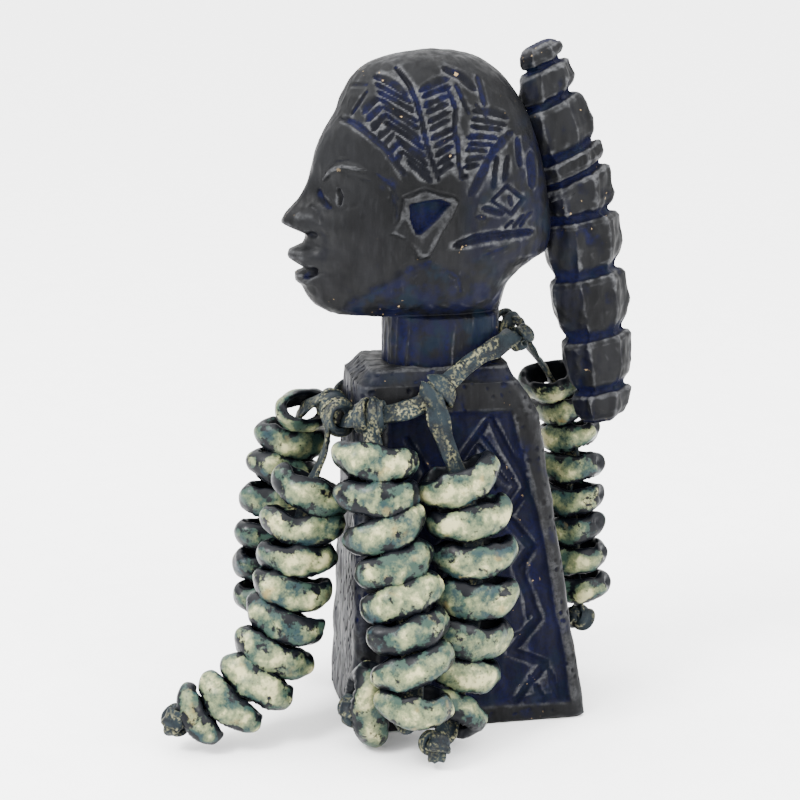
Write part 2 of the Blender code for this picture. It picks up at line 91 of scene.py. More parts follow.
def ripple(points: Array, scale: float, seed: int, waves: int = 9) -> Array:
    """Return a smooth random field over points, from about -1 to 1.

    Args:
        points: positions, with x, y and z last.
        scale: the usual distance between crests.
        seed: picks the field.
        waves: how many waves are summed.

    Returns:
        One value for each point.
    """
    rng = np.random.default_rng(seed)
    total = np.zeros(points.shape[:-1])
    for _ in range(waves):
        way = rng.normal(size=3)
        way *= 2.0 * np.pi / (scale * np.linalg.norm(way)) * rng.uniform(0.7, 1.5)
        total += np.sin(points @ way + rng.uniform(0.0, 6.28))
    return total / math.sqrt(waves * 0.75)


@dataclass(frozen=True)
class Outline:
    """A smooth curve through (height, value) points, level at its extremes."""

    points: tuple[Point2, ...]

    def at(self, height: Array) -> Array:
        """Return the value at each height.

        Args:
            height: the heights to read, in millimetres.

        Returns:
            The outline's values.
        """
        z = np.array([p[0] for p in self.points])
        v = np.array([p[1] for p in self.points])
        step = np.diff(v) / np.diff(z)
        slope = np.empty_like(v)
        slope[0], slope[-1] = step[0], step[-1]
        before, after = step[:-1], step[1:]
        safe = np.where(np.abs(before + after) < 1e-12, 1.0, before + after)
        slope[1:-1] = np.where(before * after <= 0.0, 0.0, 2.0 * before * after / safe)
        height = np.clip(height, z[0], z[-1])
        i = np.clip(np.searchsorted(z, height) - 1, 0, len(z) - 2)
        span = z[i + 1] - z[i]
        t = (height - z[i]) / span
        rise = v[i] * (1 + 2 * t) * (1 - t) ** 2 + v[i + 1] * t * t * (3 - 2 * t)
        return rise + span * (slope[i] * t * (1 - t) ** 2 + slope[i + 1] * t * t * (t - 1))


class Route:
    """A smooth line through given points, read by the distance along it."""

    def __init__(self, points: Sequence[Point3]) -> None:
        """Divide the line finely.

        Args:
            points: the route's points, in millimetres.
        """
        knots = [np.array(p, float) for p in points]
        knots.insert(0, knots[0] * 2 - knots[1])
        knots.append(knots[-1] * 2 - knots[-2])
        fine = []
        for i in range(1, len(knots) - 2):
            a, b, c, d = knots[i - 1:i + 3]
            for k in range(24):
                t = k / 24
                fine.append(0.5 * (
                    2 * b + (c - a) * t + (2 * a - 5 * b + 4 * c - d) * t * t
                    + (3 * b - 3 * c + d - a) * t ** 3))
        fine.append(knots[-2])
        self.fine = np.array(fine)
        steps = np.linalg.norm(np.diff(self.fine, axis=0), axis=1)
        self.travelled = np.concatenate(([0.0], np.cumsum(steps)))
        self.length = float(self.travelled[-1])

    def at(self, distance: Array | float) -> Array:
        """Return the points at distances along the route.

        Args:
            distance: how far along the route, in millimetres.

        Returns:
            The points, with xyz last.
        """
        return np.stack([
            np.interp(distance, self.travelled, self.fine[:, k]) for k in range(3)
        ], axis=-1)


# -------------------------------------------------------------------- carving


class Cut(NamedTuple):
    """A tool cut along a line drawn on the side of the wood; a negative depth is a ridge.

    A lean above 0 makes its upper flank the wider and shallower one.
    """

    line: tuple[Point2, ...]
    half_width: float
    depth: float
    lean: float = 0.0


def comb(first: tuple[Point2, Point2], last: tuple[Point2, Point2], count: int,
         half_width: float, depth: float, seed: int = 1, lean: float = 0.45) -> list[Cut]:
    """Return a row of cuts that changes evenly from a first cut to a last one.

    Args:
        first: the first cut's two ends.
        last: the last cut's two ends.
        count: how many cuts there are.
        half_width: half of each cut's width.
        depth: each cut's depth.
        seed: picks the small unevenness of a hand-held knife.
        lean: how much wider each cut's upper flank is.

    Returns:
        The cuts.
    """
    rng = np.random.default_rng(seed)
    cuts = []
    for i in range(count):
        share = i / max(count - 1, 1)
        ends = np.array(first) * (1 - share) + np.array(last) * share
        ends += rng.normal(0.0, 0.22, ends.shape)
        middle = ends.mean(axis=0) + rng.normal(0.0, 0.15, 2)
        line = (tuple(ends[0]), tuple(middle), tuple(ends[1]))
        broad, deep = rng.uniform(0.85, 1.15, 2)
        cuts.append(Cut(line, half_width * broad, depth * deep, lean))
    return cuts


def carve(along: Array, up: Array, cuts: Iterable[Cut]) -> Array:
    """Return how deep a set of cuts goes at each place.

    Args:
        along: the places' first coordinate on the drawing.
        up: the places' second coordinate.
        cuts: the cuts to make.

    Returns:
        The depth at each place, below zero on ridges.
    """
    depth = np.zeros(along.shape)
    for cut in cuts:
        line = np.array(cut.line)
        reach = cut.half_width * (1.0 + cut.lean)
        low = line.min(axis=0) - reach
        high = line.max(axis=0) + reach
        near = (along > low[0]) & (along < high[0]) & (up > low[1]) & (up < high[1])
        if not near.any():
            continue
        place = np.stack([along[near], up[near]], axis=-1)
        runs = np.linalg.norm(np.diff(line, axis=0), axis=1)
        total = runs.sum()
        best = np.zeros(len(place))
        start = 0.0
        for a, b, run in zip(line, line[1:], runs):
            way = (b - a) / run
            offset = place - a
            t = np.clip(offset @ way / run, 0.0, 1.0)
            gap = np.linalg.norm(offset - t[:, None] * (b - a), axis=1)
            share = (start + t * run) / total
            width = cut.half_width * (0.4 + 0.6 * np.clip(4 * share * (1 - share), 0, 1) ** 0.35)
            rise = (offset[:, 1] * way[0] - offset[:, 0] * way[1]) * (1 if way[0] > 0 else -1)
            width = width * (1.0 + cut.lean * np.clip(rise / 0.2, -1.0, 1.0))
            best = np.maximum(best, np.clip(1.0 - gap / width, 0.0, 1.0))
            start += run
        here = depth[near]
        if cut.depth < 0.0:
            here += cut.depth * smooth_step(0.0, 1.0, best)
        else:
            here = np.maximum(here, cut.depth * best)
        depth[near] = here
    return depth


def inside_distance(along: Array, up: Array, corners: Sequence[Point2]) -> Array:
    """Return how far inside a polygon each place is, below zero outside it.

    Args:
        along: the places' first coordinate.
        up: the places' second coordinate.
        corners: the polygon's corners in order.

    Returns:
        The signed distance to the polygon's edge.
    """
    ring = np.array(corners)
    least = np.full(along.shape, 1e9)
    inside = np.zeros(along.shape, bool)
    for a, b in zip(ring, np.roll(ring, -1, axis=0)):
        edge = b - a
        t = ((along - a[0]) * edge[0] + (up - a[1]) * edge[1]) / (edge @ edge)
        t = np.clip(t, 0.0, 1.0)
        least = np.minimum(least, np.hypot(along - a[0] - t * edge[0], up - a[1] - t * edge[1]))
        crosses = (a[1] > up) != (b[1] > up)
        safe = edge[1] if abs(edge[1]) > 1e-9 else 1e-9
        inside ^= crosses & (along < a[0] + (up - a[1]) / safe * edge[0])
    return np.where(inside, least, -least)


def blurred(grid: Array, reach: int) -> Array:
    """Return a grid averaged over its neighbours, wrapping round its columns.

    Args:
        grid: the values, as (ring, place in ring, ...).
        reach: how many neighbours count on each side.

    Returns:
        The averaged grid.
    """
    total = grid.copy()
    for axis, wraps in ((0, False), (1, True)):
        summed = np.zeros_like(total)
        for k in range(-reach, reach + 1):
            moved = np.roll(total, k, axis=axis)
            if not wraps and k > 0:
                moved[:k] = total[:1]
            if not wraps and k < 0:
                moved[k:] = total[-1:]
            summed += moved
        total = summed / (2 * reach + 1)
    return total


def grid_normals(rows: Array) -> Array:
    """Return the outward unit normals of a closed grid of rings that rise in z.

    Args:
        rows: ring points, as (ring, place in ring, xyz).

    Returns:
        A unit vector for each point.
    """
    across = np.roll(rows, -1, axis=1) - np.roll(rows, 1, axis=1)
    up = np.gradient(rows, axis=0)
    normal = np.cross(across, up)
    size = np.linalg.norm(normal, axis=-1, keepdims=True)
    return normal / np.maximum(size, 1e-9)


def grid_object(name: str, rows: Array, marks: dict[str, Array]) -> bpy.types.Object:
    """Skin a grid of closed rings and close its two ends.

    Args:
        name: the new object's name.
        rows: ring points in millimetres, as (ring, place in ring, xyz).
        marks: values for named attributes, one for each grid point.

    Returns:
        The new object, shaded smooth.
    """
    count, around = rows.shape[:2]
    ends = np.stack([rows[0].mean(axis=0), rows[-1].mean(axis=0)])
    places = np.concatenate([rows.reshape(-1, 3), ends]) * MM
    index = np.arange(count * around).reshape(count, around)
    right = np.roll(index, -1, axis=1)
    quads = np.stack([index[:-1], right[:-1], right[1:], index[1:]], axis=-1).reshape(-1, 4)
    first, last = count * around, count * around + 1
    low = np.stack([right[0], index[0], np.full(around, first)], axis=-1)
    high = np.stack([index[-1], right[-1], np.full(around, last)], axis=-1)
    loops = np.concatenate([quads.ravel(), low.ravel(), high.ravel()])
    sizes = np.concatenate([np.full(len(quads), 4), np.full(2 * around, 3)])
    starts = np.concatenate(([0], np.cumsum(sizes)[:-1]))
    mesh = bpy.data.meshes.new(name)
    mesh.vertices.add(len(places))
    mesh.vertices.foreach_set("co", places.astype(np.float32).ravel())
    mesh.loops.add(len(loops))
    mesh.loops.foreach_set("vertex_index", loops.astype(np.int32))
    mesh.polygons.add(len(sizes))
    mesh.polygons.foreach_set("loop_start", starts.astype(np.int32))
    mesh.update(calc_edges=True)
    for key, value in marks.items():
        layer = mesh.attributes.new(key, "FLOAT", "POINT")
        full = np.concatenate([value.ravel(), [value[0].mean(), value[-1].mean()]])
        layer.data.foreach_set("value", full.astype(np.float32))
    mesh.shade_smooth()
    thing = bpy.data.objects.new(name, mesh)
    bpy.context.scene.collection.objects.link(thing)
    return thing


def settle(thing: bpy.types.Object, body: str | None,
           material: bpy.types.Material) -> bpy.types.Object:
    """Dress a piece and let it ride on a body.

    Args:
        thing: the piece.
        body: the body that it moves with, or None for a piece that is not attached.
        material: its material.

    Returns:
        The same piece.
    """
    thing.data.materials.clear()
    thing.data.materials.append(material)
    if body is not None:
        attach(thing, body)
    LOG.info("made %s", thing.name)
    return thing


# ------------------------------------------------------------------- finishes

Colour = tuple[float, float, float]
Socket = bpy.types.NodeSocket


class Paint:
    """A node material that is mixed one layer at a time."""

    def __init__(self, name: str) -> None:
        """Start a material with only its shader.

        Args:
            name: the material's name.
        """
        self.material = bpy.data.materials.new(name)
        self.material.use_nodes = True
        self.tree = self.material.node_tree
        self.shader = self.tree.nodes["Principled BSDF"]
        self.place = self.add("ShaderNodeTexCoord").outputs["Object"]

    def add(self, kind: str) -> bpy.types.Node:
        """Return a new node of a kind.

        Args:
            kind: the node's type name.

        Returns:
            The node.
        """
        return self.tree.nodes.new(kind)

    def put(self, socket: Socket, value: object) -> None:
        """Link a socket to another one, or set it to a number or colour.

        Args:
            socket: the input to fill.
            value: another socket, a number, a vector or a colour.
        """
        if isinstance(value, bpy.types.NodeSocket):
            self.tree.links.new(value, socket)
        elif isinstance(value, tuple):
            socket.default_value = (*value, 1.0)
        else:
            socket.default_value = value

    def mark(self, name: str) -> Socket:
        """Return a mesh's named attribute.

        Args:
            name: the attribute's name.

        Returns:
            The attribute's value.
        """
        node = self.add("ShaderNodeAttribute")
        node.attribute_name = name
        return node.outputs["Fac"]

    def noise(self, size: float, detail: float = 3.0, stretch: Point3 = (1.0, 1.0, 1.0),
              shift: float = 0.0, blend: float = 0.55) -> Socket:
        """Return noise whose patches are about size millimetres.

        Args:
            size: the patches' size in millimetres.
            detail: how many finer layers it has.
            stretch: how much longer the patches are along x, y and z.
            shift: moves the pattern, so that two of one size differ.
            blend: how strong the finer layers are.

        Returns:
            The noise, from 0 to 1.
        """
        mapping = self.add("ShaderNodeMapping")
        self.put(mapping.inputs["Vector"], self.place)
        mapping.inputs["Location"].default_value = (shift, shift * 0.7, shift * 1.3)
        mapping.inputs["Scale"].default_value = tuple(1.0 / s for s in stretch)
        node = self.add("ShaderNodeTexNoise")
        self.put(node.inputs["Vector"], mapping.outputs["Vector"])
        node.inputs["Scale"].default_value = 1.0 / (size * MM)
        node.inputs["Detail"].default_value = detail
        node.inputs["Roughness"].default_value = blend
        return node.outputs["Fac"]

    def cells(self, size: float, stretch: Point3 = (1.0, 1.0, 1.0)) -> Socket:
        """Return the distance to the nearest of scattered points, 0 at each point.

        Args:
            size: the points' usual distance, in millimetres.
            stretch: how much longer the cells are along x, y and z.

        Returns:
            The distance, about 0 to 1.
        """
        mapping = self.add("ShaderNodeMapping")
        self.put(mapping.inputs["Vector"], self.place)
        mapping.inputs["Scale"].default_value = tuple(1.0 / s for s in stretch)
        node = self.add("ShaderNodeTexVoronoi")
        self.put(node.inputs["Vector"], mapping.outputs["Vector"])
        node.inputs["Scale"].default_value = 1.0 / (size * MM)
        return node.outputs["Distance"]

    def ramp(self, value: Socket, low: float, high: float, start: float = 0.0,
             end: float = 1.0) -> Socket:
        """Return a soft ramp of a value between two limits.

        Args:
            value: the number to place on the ramp.
            low: where the ramp starts.
            high: where the ramp ends.
            start: its result up to low.
            end: its result from high on.

        Returns:
            The ramp's result.
        """
        node = self.add("ShaderNodeMapRange")
        node.interpolation_type = "SMOOTHSTEP"
        self.put(node.inputs["Value"], value)
        node.inputs["From Min"].default_value = low
        node.inputs["From Max"].default_value = high
        node.inputs["To Min"].default_value = start
        node.inputs["To Max"].default_value = end
        return node.outputs["Result"]

    def maths(self, kind: str, a: object, b: object, clamp: bool = False) -> Socket:
        """Return a sum, product or the like of two values.

        Args:
            kind: the operation's name.
            a: the first value.
            b: the second value.
            clamp: whether the result stays within 0 to 1.

        Returns:
            The result.
        """
        node = self.add("ShaderNodeMath")
        node.operation = kind
        node.use_clamp = clamp
        self.put(node.inputs[0], a)
        self.put(node.inputs[1], b)
        return node.outputs[0]

    def times(self, *values: object) -> Socket:
        """Return the product of several values.

        Args:
            values: the numbers and sockets to multiply.

        Returns:
            The product.
        """
        total = values[0]
        for value in values[1:]:
            total = self.maths("MULTIPLY", total, value)
        return total

    def over(self, under: object, colour: object, cover: object) -> Socket:
        """Return a colour laid over another one where cover is 1.

        Args:
            under: the colour below.
            colour: the colour on top.
            cover: how much of it shows, from 0 to 1.

        Returns:
            The mixed colour.
        """
        node = self.add("ShaderNodeMix")
        node.data_type = "RGBA"
        self.put(node.inputs["Factor"], cover)
        self.put(node.inputs[6], under)
        self.put(node.inputs[7], colour)
        return node.outputs[2]

    def relief(self, height: Socket, strength: float, depth: float,
               normal: Socket | None = None) -> Socket:
        """Return a bumped normal.

        Args:
            height: the height to bump by.
            strength: how strong the bump is, from 0 to 1.
            depth: the height's full depth, in millimetres.
            normal: a bumped normal to add to.

        Returns:
            The normal.
        """
        node = self.add("ShaderNodeBump")
        node.inputs["Strength"].default_value = strength
        node.inputs["Distance"].default_value = depth * MM
        self.put(node.inputs["Height"], height)
        if normal is not None:
            self.put(node.inputs["Normal"], normal)
        return node.outputs["Normal"]

    def done(self, colour: Socket, roughness: Socket, normal: Socket,
             gloss: float) -> bpy.types.Material:
        """Connect the shader and return the material.

        Args:
            colour: the base colour.
            roughness: the roughness.
            normal: the bumped normal.
            gloss: how strongly the surface mirrors, 0.5 being usual.

        Returns:
            The material.
        """
        self.put(self.shader.inputs["Base Color"], colour)
        self.put(self.shader.inputs["Roughness"], roughness)
        self.put(self.shader.inputs["Normal"], normal)
        self.shader.inputs["Specular IOR Level"].default_value = gloss
        return self.material


@dataclass(frozen=True)
class CarvedWood:
    """Blackened wood with indigo dye in its cuts, painted shade darkening its cuts and shaded faces,
    and grey on its ridges that is partly rubbed wear, partly painted highlight.
    """

    name: str = "carved_wood"
    soot: Colour = (0.0016, 0.0017, 0.0021)
    smoke: Colour = (0.0048, 0.0050, 0.0058)
    rubbed_and_lit: Colour = (0.050, 0.051, 0.054)
    pit_shade: Colour = (0.0008, 0.0010, 0.0020)
    indigo: Colour = (0.0006, 0.0013, 0.0150)
    teal: Colour = (0.0009, 0.0042, 0.0092)
    bare: Colour = (0.20, 0.14, 0.07)
    gloss: float = 0.085

    def make(self) -> bpy.types.Material:
        """Return the material.

        Returns:
            The material.
        """
        paint = Paint(self.name)
        cut = paint.mark("cut")
        proud = paint.mark("proud")
        # This mark carries indigo dye and painted shade together.
        dye_and_shade = paint.mark("dye_and_shade")
        grain = paint.noise(1.1, 4.0, (1.0, 1.0, 6.0))
        patch = paint.noise(11.0, 3.0, (1.0, 1.0, 1.8))
        crumbs = paint.noise(0.9, 3.0, shift=0.3)
        colour = paint.over(self.soot, self.smoke, paint.ramp(patch, 0.36, 0.68))
        colour = paint.over(colour, self.smoke, paint.ramp(grain, 0.50, 0.72, 0.0, 0.8))
        broken = paint.ramp(crumbs, 0.30, 0.62, 0.35, 1.0)
        hollow = paint.ramp(cut, 0.06, 0.42)
        # Painted shade: the cuts, and the washed hollows and shaded faces, turn near-black here.
        colour = paint.over(colour, self.pit_shade, paint.maths("MAXIMUM", hollow, paint.times(dye_and_shade, 0.7)))
        spread = paint.ramp(paint.noise(5.0, 4.0, shift=0.5), 0.40, 0.62)
        soaked = paint.ramp(paint.noise(7.0, 3.0, shift=0.15), 0.47, 0.62, 0.06, 0.9)
        blue = paint.maths(
            "MAXIMUM", paint.times(hollow, broken, paint.maths("MAXIMUM", soaked, dye_and_shade)),
            paint.times(dye_and_shade, spread, 0.55), True)
        colour = paint.over(colour, self.indigo, blue)
        damp = paint.ramp(paint.noise(7.0, 3.0, shift=0.9), 0.50, 0.66)
        colour = paint.over(colour, self.teal, paint.times(dye_and_shade, damp, 0.8))
        # Grey on the proud ridges: partly rubbed wear, partly painted highlight.
        rub_and_highlight_share = paint.ramp(paint.noise(4.0, 3.0, shift=0.2), 0.36, 0.60, 0.35, 1.0)
        rub_and_highlight = paint.times(paint.ramp(proud, 0.22, 1.0), rub_and_highlight_share, broken)
        colour = paint.over(colour, self.rubbed_and_lit, rub_and_highlight)
        chip = paint.times(
            paint.ramp(paint.noise(1.6, 2.0, shift=0.7), 0.70, 0.74),
            paint.ramp(paint.noise(13.0, 1.0, shift=0.4), 0.56, 0.62))
        colour = paint.over(colour, self.bare, chip)
        dull = paint.ramp(paint.noise(2.4, 4.0, (1.0, 1.0, 3.0), 0.6), 0.3, 0.7, 0.40, 0.66)
        dull = paint.maths("ADD", dull, paint.times(cut, 0.2), True)
        normal = paint.relief(paint.noise(3.6, 2.0, (1.0, 1.0, 1.6), 0.8), 0.3, 0.15)
        normal = paint.relief(grain, 0.35, 0.06, normal)
        normal = paint.relief(crumbs, 0.25, 0.07, normal)
        return paint.done(colour, dull, normal, self.gloss)


@dataclass(frozen=True)
class DyedLeather:
    """Blue-black leather whose dye has worn through to cream flecks."""

    name: str = "dyed_leather"
    dye: Colour = (0.0017, 0.0030, 0.0048)
    faded: Colour = (0.0078, 0.0130, 0.0165)
    raw: Colour = (0.145, 0.14, 0.078)
    gloss: float = 0.12

    def make(self) -> bpy.types.Material:
        """Return the material.

        Returns:
            The material.
        """
        paint = Paint(self.name)
        proud = paint.mark("proud")
        patch = paint.noise(5.5, 3.0)
        pores = paint.noise(0.55, 3.0, shift=0.4)
        colour = paint.over(self.dye, self.faded, paint.ramp(patch, 0.38, 0.66))
        colour = paint.over(
            colour, self.faded, paint.times(paint.ramp(pores, 0.48, 0.66), 0.6))
        worn = paint.ramp(paint.noise(7.0, 2.0, shift=0.8), 0.40, 0.60, 0.22, 1.0)
        fleck = paint.times(paint.ramp(paint.noise(0.8, 4.0, shift=0.2), 0.45, 0.60), worn)
        colour = paint.over(colour, self.raw, paint.times(fleck, paint.ramp(proud, 0.2, 0.8), 0.85))
        dull = paint.ramp(patch, 0.3, 0.7, 0.48, 0.7)
        normal = paint.relief(paint.noise(1.7, 3.0, shift=0.1), 0.5, 0.3)
        normal = paint.relief(pores, 0.5, 0.12, normal)
        return paint.done(colour, dull, normal, self.gloss)


@dataclass(frozen=True)
class CowrieGlaze:
    """Ivory shell washed with sage and blue dye that gathers in its pits and towards its rims; painted
    shade darkens its cut-open inside, teeth, underside and rims, and painted highlight lightens its
    belly.
    """

    name: str = "cowrie_shell"
    ivory: Colour = (0.122, 0.138, 0.070)
    cream: Colour = (0.34, 0.320, 0.165)
    sage: Colour = (0.019, 0.037, 0.028)
    blue: Colour = (0.0060, 0.0175, 0.024)
    ink_and_shade: Colour = (0.0014, 0.0020, 0.0034)
    ochre: Colour = (0.17, 0.115, 0.036)
    gloss: float = 0.13

    def make(self) -> bpy.types.Material:
        """Return the material.

        Returns:
            The material.
        """
        paint = Paint(self.name)
        cut = paint.mark("cut")
        shade = paint.mark("shade")
        tone = paint.mark("tone")
        broad = paint.noise(6.0, 5.0, blend=0.62)
        fine = paint.noise(1.3, 4.0, shift=0.3)
        # The belly is painted lighter ivory and cream where the shade mark is low: partly the shell's
        # own mottling, partly painted highlight.
        bare = paint.maths("SUBTRACT", paint.times(broad, 1.15), paint.times(shade, 0.30))
        bare = paint.maths("ADD", bare, paint.times(tone, 0.16))
        bare = paint.maths("ADD", bare, paint.times(fine, 0.22))
        colour = paint.over(self.sage, self.ivory, paint.ramp(bare, 0.56, 0.80))
        colour = paint.over(colour, self.cream, paint.ramp(bare, 0.75, 0.92))
        tint = paint.times(
            paint.ramp(paint.noise(8.0, 4.0, shift=0.6), 0.46, 0.62),
            paint.ramp(bare, 0.42, 0.80, 0.95, 0.05))
        colour = paint.over(colour, self.blue, tint)
        warm = paint.times(
            paint.ramp(paint.noise(6.5, 3.0, shift=0.9), 0.60, 0.74),
            paint.ramp(shade, 0.1, 0.7, 0.6, 0.3))
        colour = paint.over(colour, self.ochre, warm)
        # Near-black patches: dye mottling, plus painted shade in the cut-open inside, the teeth and the
        # underside and towards the rims.
        stain_and_shade = paint.maths("ADD", paint.times(shade, 0.22), paint.times(
            paint.noise(3.8, 6.0, shift=0.5, blend=0.64), 1.0))
        stain_and_shade = paint.maths("ADD", stain_and_shade, paint.times(cut, 0.9))
        stain_and_shade = paint.maths("SUBTRACT", stain_and_shade, paint.times(tone, 0.08))
        colour = paint.over(colour, self.ink_and_shade, paint.ramp(stain_and_shade, 0.565, 0.635))
        pits = paint.times(
            paint.ramp(paint.cells(1.3), 0.12, 0.30, 1.0, 0.0),
            paint.ramp(paint.noise(4.0, 2.0, shift=0.1), 0.42, 0.56))
        colour = paint.over(colour, self.ink_and_shade, paint.times(pits, 0.45))
        dull = paint.ramp(fine, 0.3, 0.7, 0.26, 0.48)
        dull = paint.maths("ADD", dull, paint.times(cut, 0.3), True)
        normal = paint.relief(paint.noise(3.0, 3.0, shift=0.2), 0.25, 0.15)
        normal = paint.relief(fine, 0.35, 0.08, normal)
        return paint.done(colour, dull, normal, self.gloss)


@dataclass(frozen=True)
class PaleBoard:
    """Plain pale board for the floor."""

    name: str = "pale_board"
    light: Colour = (0.97, 0.97, 0.97)
    shade: Colour = (0.945, 0.945, 0.947)
    gloss: float = 0.15

    def make(self) -> bpy.types.Material:
        """Return the material.

        Returns:
            The material.
        """
        paint = Paint(self.name)
        speck = paint.noise(14.0, 2.0)
        colour = paint.over(self.light, self.shade, paint.ramp(speck, 0.3, 0.7))
        dull = paint.ramp(speck, 0.3, 0.7, 0.80, 0.9)
        return paint.done(colour, dull, paint.relief(speck, 0.1, 0.2), self.gloss)


# ------------------------------------------------------------------ the figure

DRAWING_SHEAR = 0.194
DRAWING_RISE = 0.254
TEMPLE_SIDE = 18.0


def drawing_place(points: Array) -> tuple[Array, Array]:
    """Return where points of the head lie on the carver's flat side drawing.

    The drawing stands at the temple and is thrown onto the round head along a
    slightly slanting line, the same on both sides.

    Args:
        points: positions in millimetres.

    Returns:
        The place along the head and the height on the drawing.
    """
    inward = TEMPLE_SIDE - np.abs(points[..., 0])
    return points[..., 1] - DRAWING_SHEAR * inward, points[..., 2] + DRAWING_RISE * inward


HAIR_LINE = ((-37.4, 174.4), (-34.2, 172.7), (-29.8, 169.1), (-24.9, 164.5),
             (-23.1, 161.8), (-19.6, 157.0))
FRONT_PARTING = ((-22.2, 187.3), (-18.6, 181.9), (-16.4, 176.1), (-15.0, 171.3),
                 (-14.2, 166.9), (-12.4, 160.7), (-10.4, 155.3))
BACK_PARTING = ((-7.9, 180.1), (-5.9, 174.5), (-6.3, 169.3), (-5.4, 164.8),
                (-5.0, 160.4), (-4.1, 155.3))


def hair_cuts() -> list[Cut]:
    """Return the herring-bone cuts of the dressed hair.

    Returns:
        The cuts.
    """
    cuts = [
        Cut(HAIR_LINE, 1.3, 0.75),
        Cut(FRONT_PARTING, 1.1, 1.15),
        Cut(BACK_PARTING, 1.0, 1.0),
        Cut(((-5.9, 181.6), (-2.3, 173.1)), 0.8, 0.7),
        Cut(((-9.2, 186.5), (-4.8, 184.2), (-0.5, 180.1)), 1.7, 0.8),
        Cut(((0.1, 184.0), (2.1, 175.6)), 1.2, 0.6),
        Cut(((-34.7, 183.6), (-29.8, 182.7)), 0.9, 0.5),
        Cut(((-30.0, 180.9), (-34.2, 174.9)), 0.75, 0.7),
        Cut(((-0.6, 175.9), (3.2, 171.6)), 0.8, 0.6),
        Cut(((-4.1, 155.9), (-2.5, 156.2)), 0.9, 1.0),
    ]
    cuts += comb(((-28.0, 184.9), (-19.1, 179.3)), ((-24.6, 171.1), (-14.8, 164.0)), 7,
                 1.75, 1.05, 2)
    cuts += comb(((-22.6, 168.0), (-13.9, 161.4)), ((-18.8, 160.4), (-13.2, 154.9)), 4,
                 1.7, 1.0, 3)
    cuts += comb(((-26.5, 178.4), (-31.0, 174.6)), ((-19.9, 163.4), (-22.4, 160.4)), 7,
                 1.6, 0.85, 4)
    cuts += comb(((-15.2, 180.0), (-7.9, 183.0)), ((-10.2, 157.1), (-6.4, 159.6)), 11,
                 1.6, 0.95, 5)
    cuts += comb(((-1.0, 173.4), (9.0, 172.2)), ((-3.2, 158.2), (0.4, 158.9)), 8,
                 1.5, 0.9, 6)
    return cuts


def nape_cuts() -> list[Cut]:
    """Return the longer cuts between the ear and the braid.

    Returns:
        The cuts.
    """
    cuts = [
        Cut(((9.6, 168.4), (4.6, 163.3), (1.5, 157.1), (-1.7, 151.1)), 1.9, 0.8),
        Cut(((11.3, 166.8), (12.2, 159.0)), 1.2, 1.0),
        Cut(((8.6, 161.8), (7.7, 155.0)), 1.1, 0.9),
        Cut(((5.5, 161.5), (4.6, 152.9)), 1.0, 0.8),
        Cut(((15.3, 163.3), (15.8, 153.6)), 1.7, 1.1),
        Cut(((4.1, 149.5), (8.4, 153.5), (13.1, 150.2), (9.9, 146.0), (4.1, 149.5)), 0.8, 0.8),
        Cut(((1.9, 147.5), (7.5, 146.1)), 1.4, 1.0),
        Cut(((0.1, 145.2), (2.4, 144.8)), 1.1, 0.7),
        Cut(((9.2, 151.0), (9.9, 148.1)), 0.9, 0.7),
        Cut(((-5.7, 137.6), (-0.3, 139.2), (5.0, 139.9), (15.8, 141.2)), 1.8, 1.3),
        Cut(((2.0, 134.6), (9.0, 137.2)), 1.1, 0.4),
    ]
    cuts += comb(((8.2, 141.8), (10.6, 144.4)), ((12.8, 142.4), (16.0, 146.8)), 3, 0.9, 0.8, 7)
    return cuts


def face_cuts() -> list[Cut]:
    """Return the brow, lid, eye, nostril, lip and jaw cuts.

    Returns:
        The cuts.
    """
    return [
        Cut(((-41.2, 159.8), (-38.3, 162.3), (-34.7, 162.3)), 0.6, 0.4),
        Cut(((-41.9, 158.0), (-39.6, 159.9), (-36.5, 160.9), (-32.9, 159.9),
             (-27.5, 156.6)), 1.3, -0.65),
        Cut(((-36.6, 160.7), (-32.4, 159.5), (-28.0, 157.5)), 0.95, -0.40),
        Cut(((-35.2, 158.3), (-31.8, 157.1), (-28.6, 155.8)), 0.6, 0.28),
        Cut(((-37.6, 154.9), (-36.8, 152.6), (-37.3, 150.2)), 0.75, 1.3),
        Cut(((-43.6, 155.4), (-42.6, 152.7), (-40.2, 149.9)), 1.2, 1.0),
        Cut(((-36.5, 149.2), (-32.4, 149.8)), 0.9, 0.22),
        Cut(((-45.8, 151.1), (-43.6, 148.8), (-42.9, 146.0)), 1.0, 0.45),
        Cut(((-47.6, 131.4), (-44.3, 133.0)), 1.5, 1.5),
        Cut(((-46.4, 143.2), (-44.0, 142.6)), 1.0, 0.9),
        Cut(((-12.6, 133.4), (-18.6, 131.4), (-23.5, 128.6), (-29.3, 125.5),
             (-36.0, 122.6)), 2.4, 0.35),
        Cut(((-23.5, 141.2), (-20.2, 141.3), (-18.6, 139.0)), 0.7, 0.7),
        Cut(((-27.5, 158.0), (-23.1, 154.3), (-21.3, 150.3)), 1.0, 0.4),
        Cut(((-23.4, 152.6), (-21.6, 147.6), (-21.6, 143.6)), 1.0, 0.4),
        Cut(((-9.0, 131.5), (-5.0, 129.0), (-4.0, 125.0)), 0.9, 0.35),
    ]


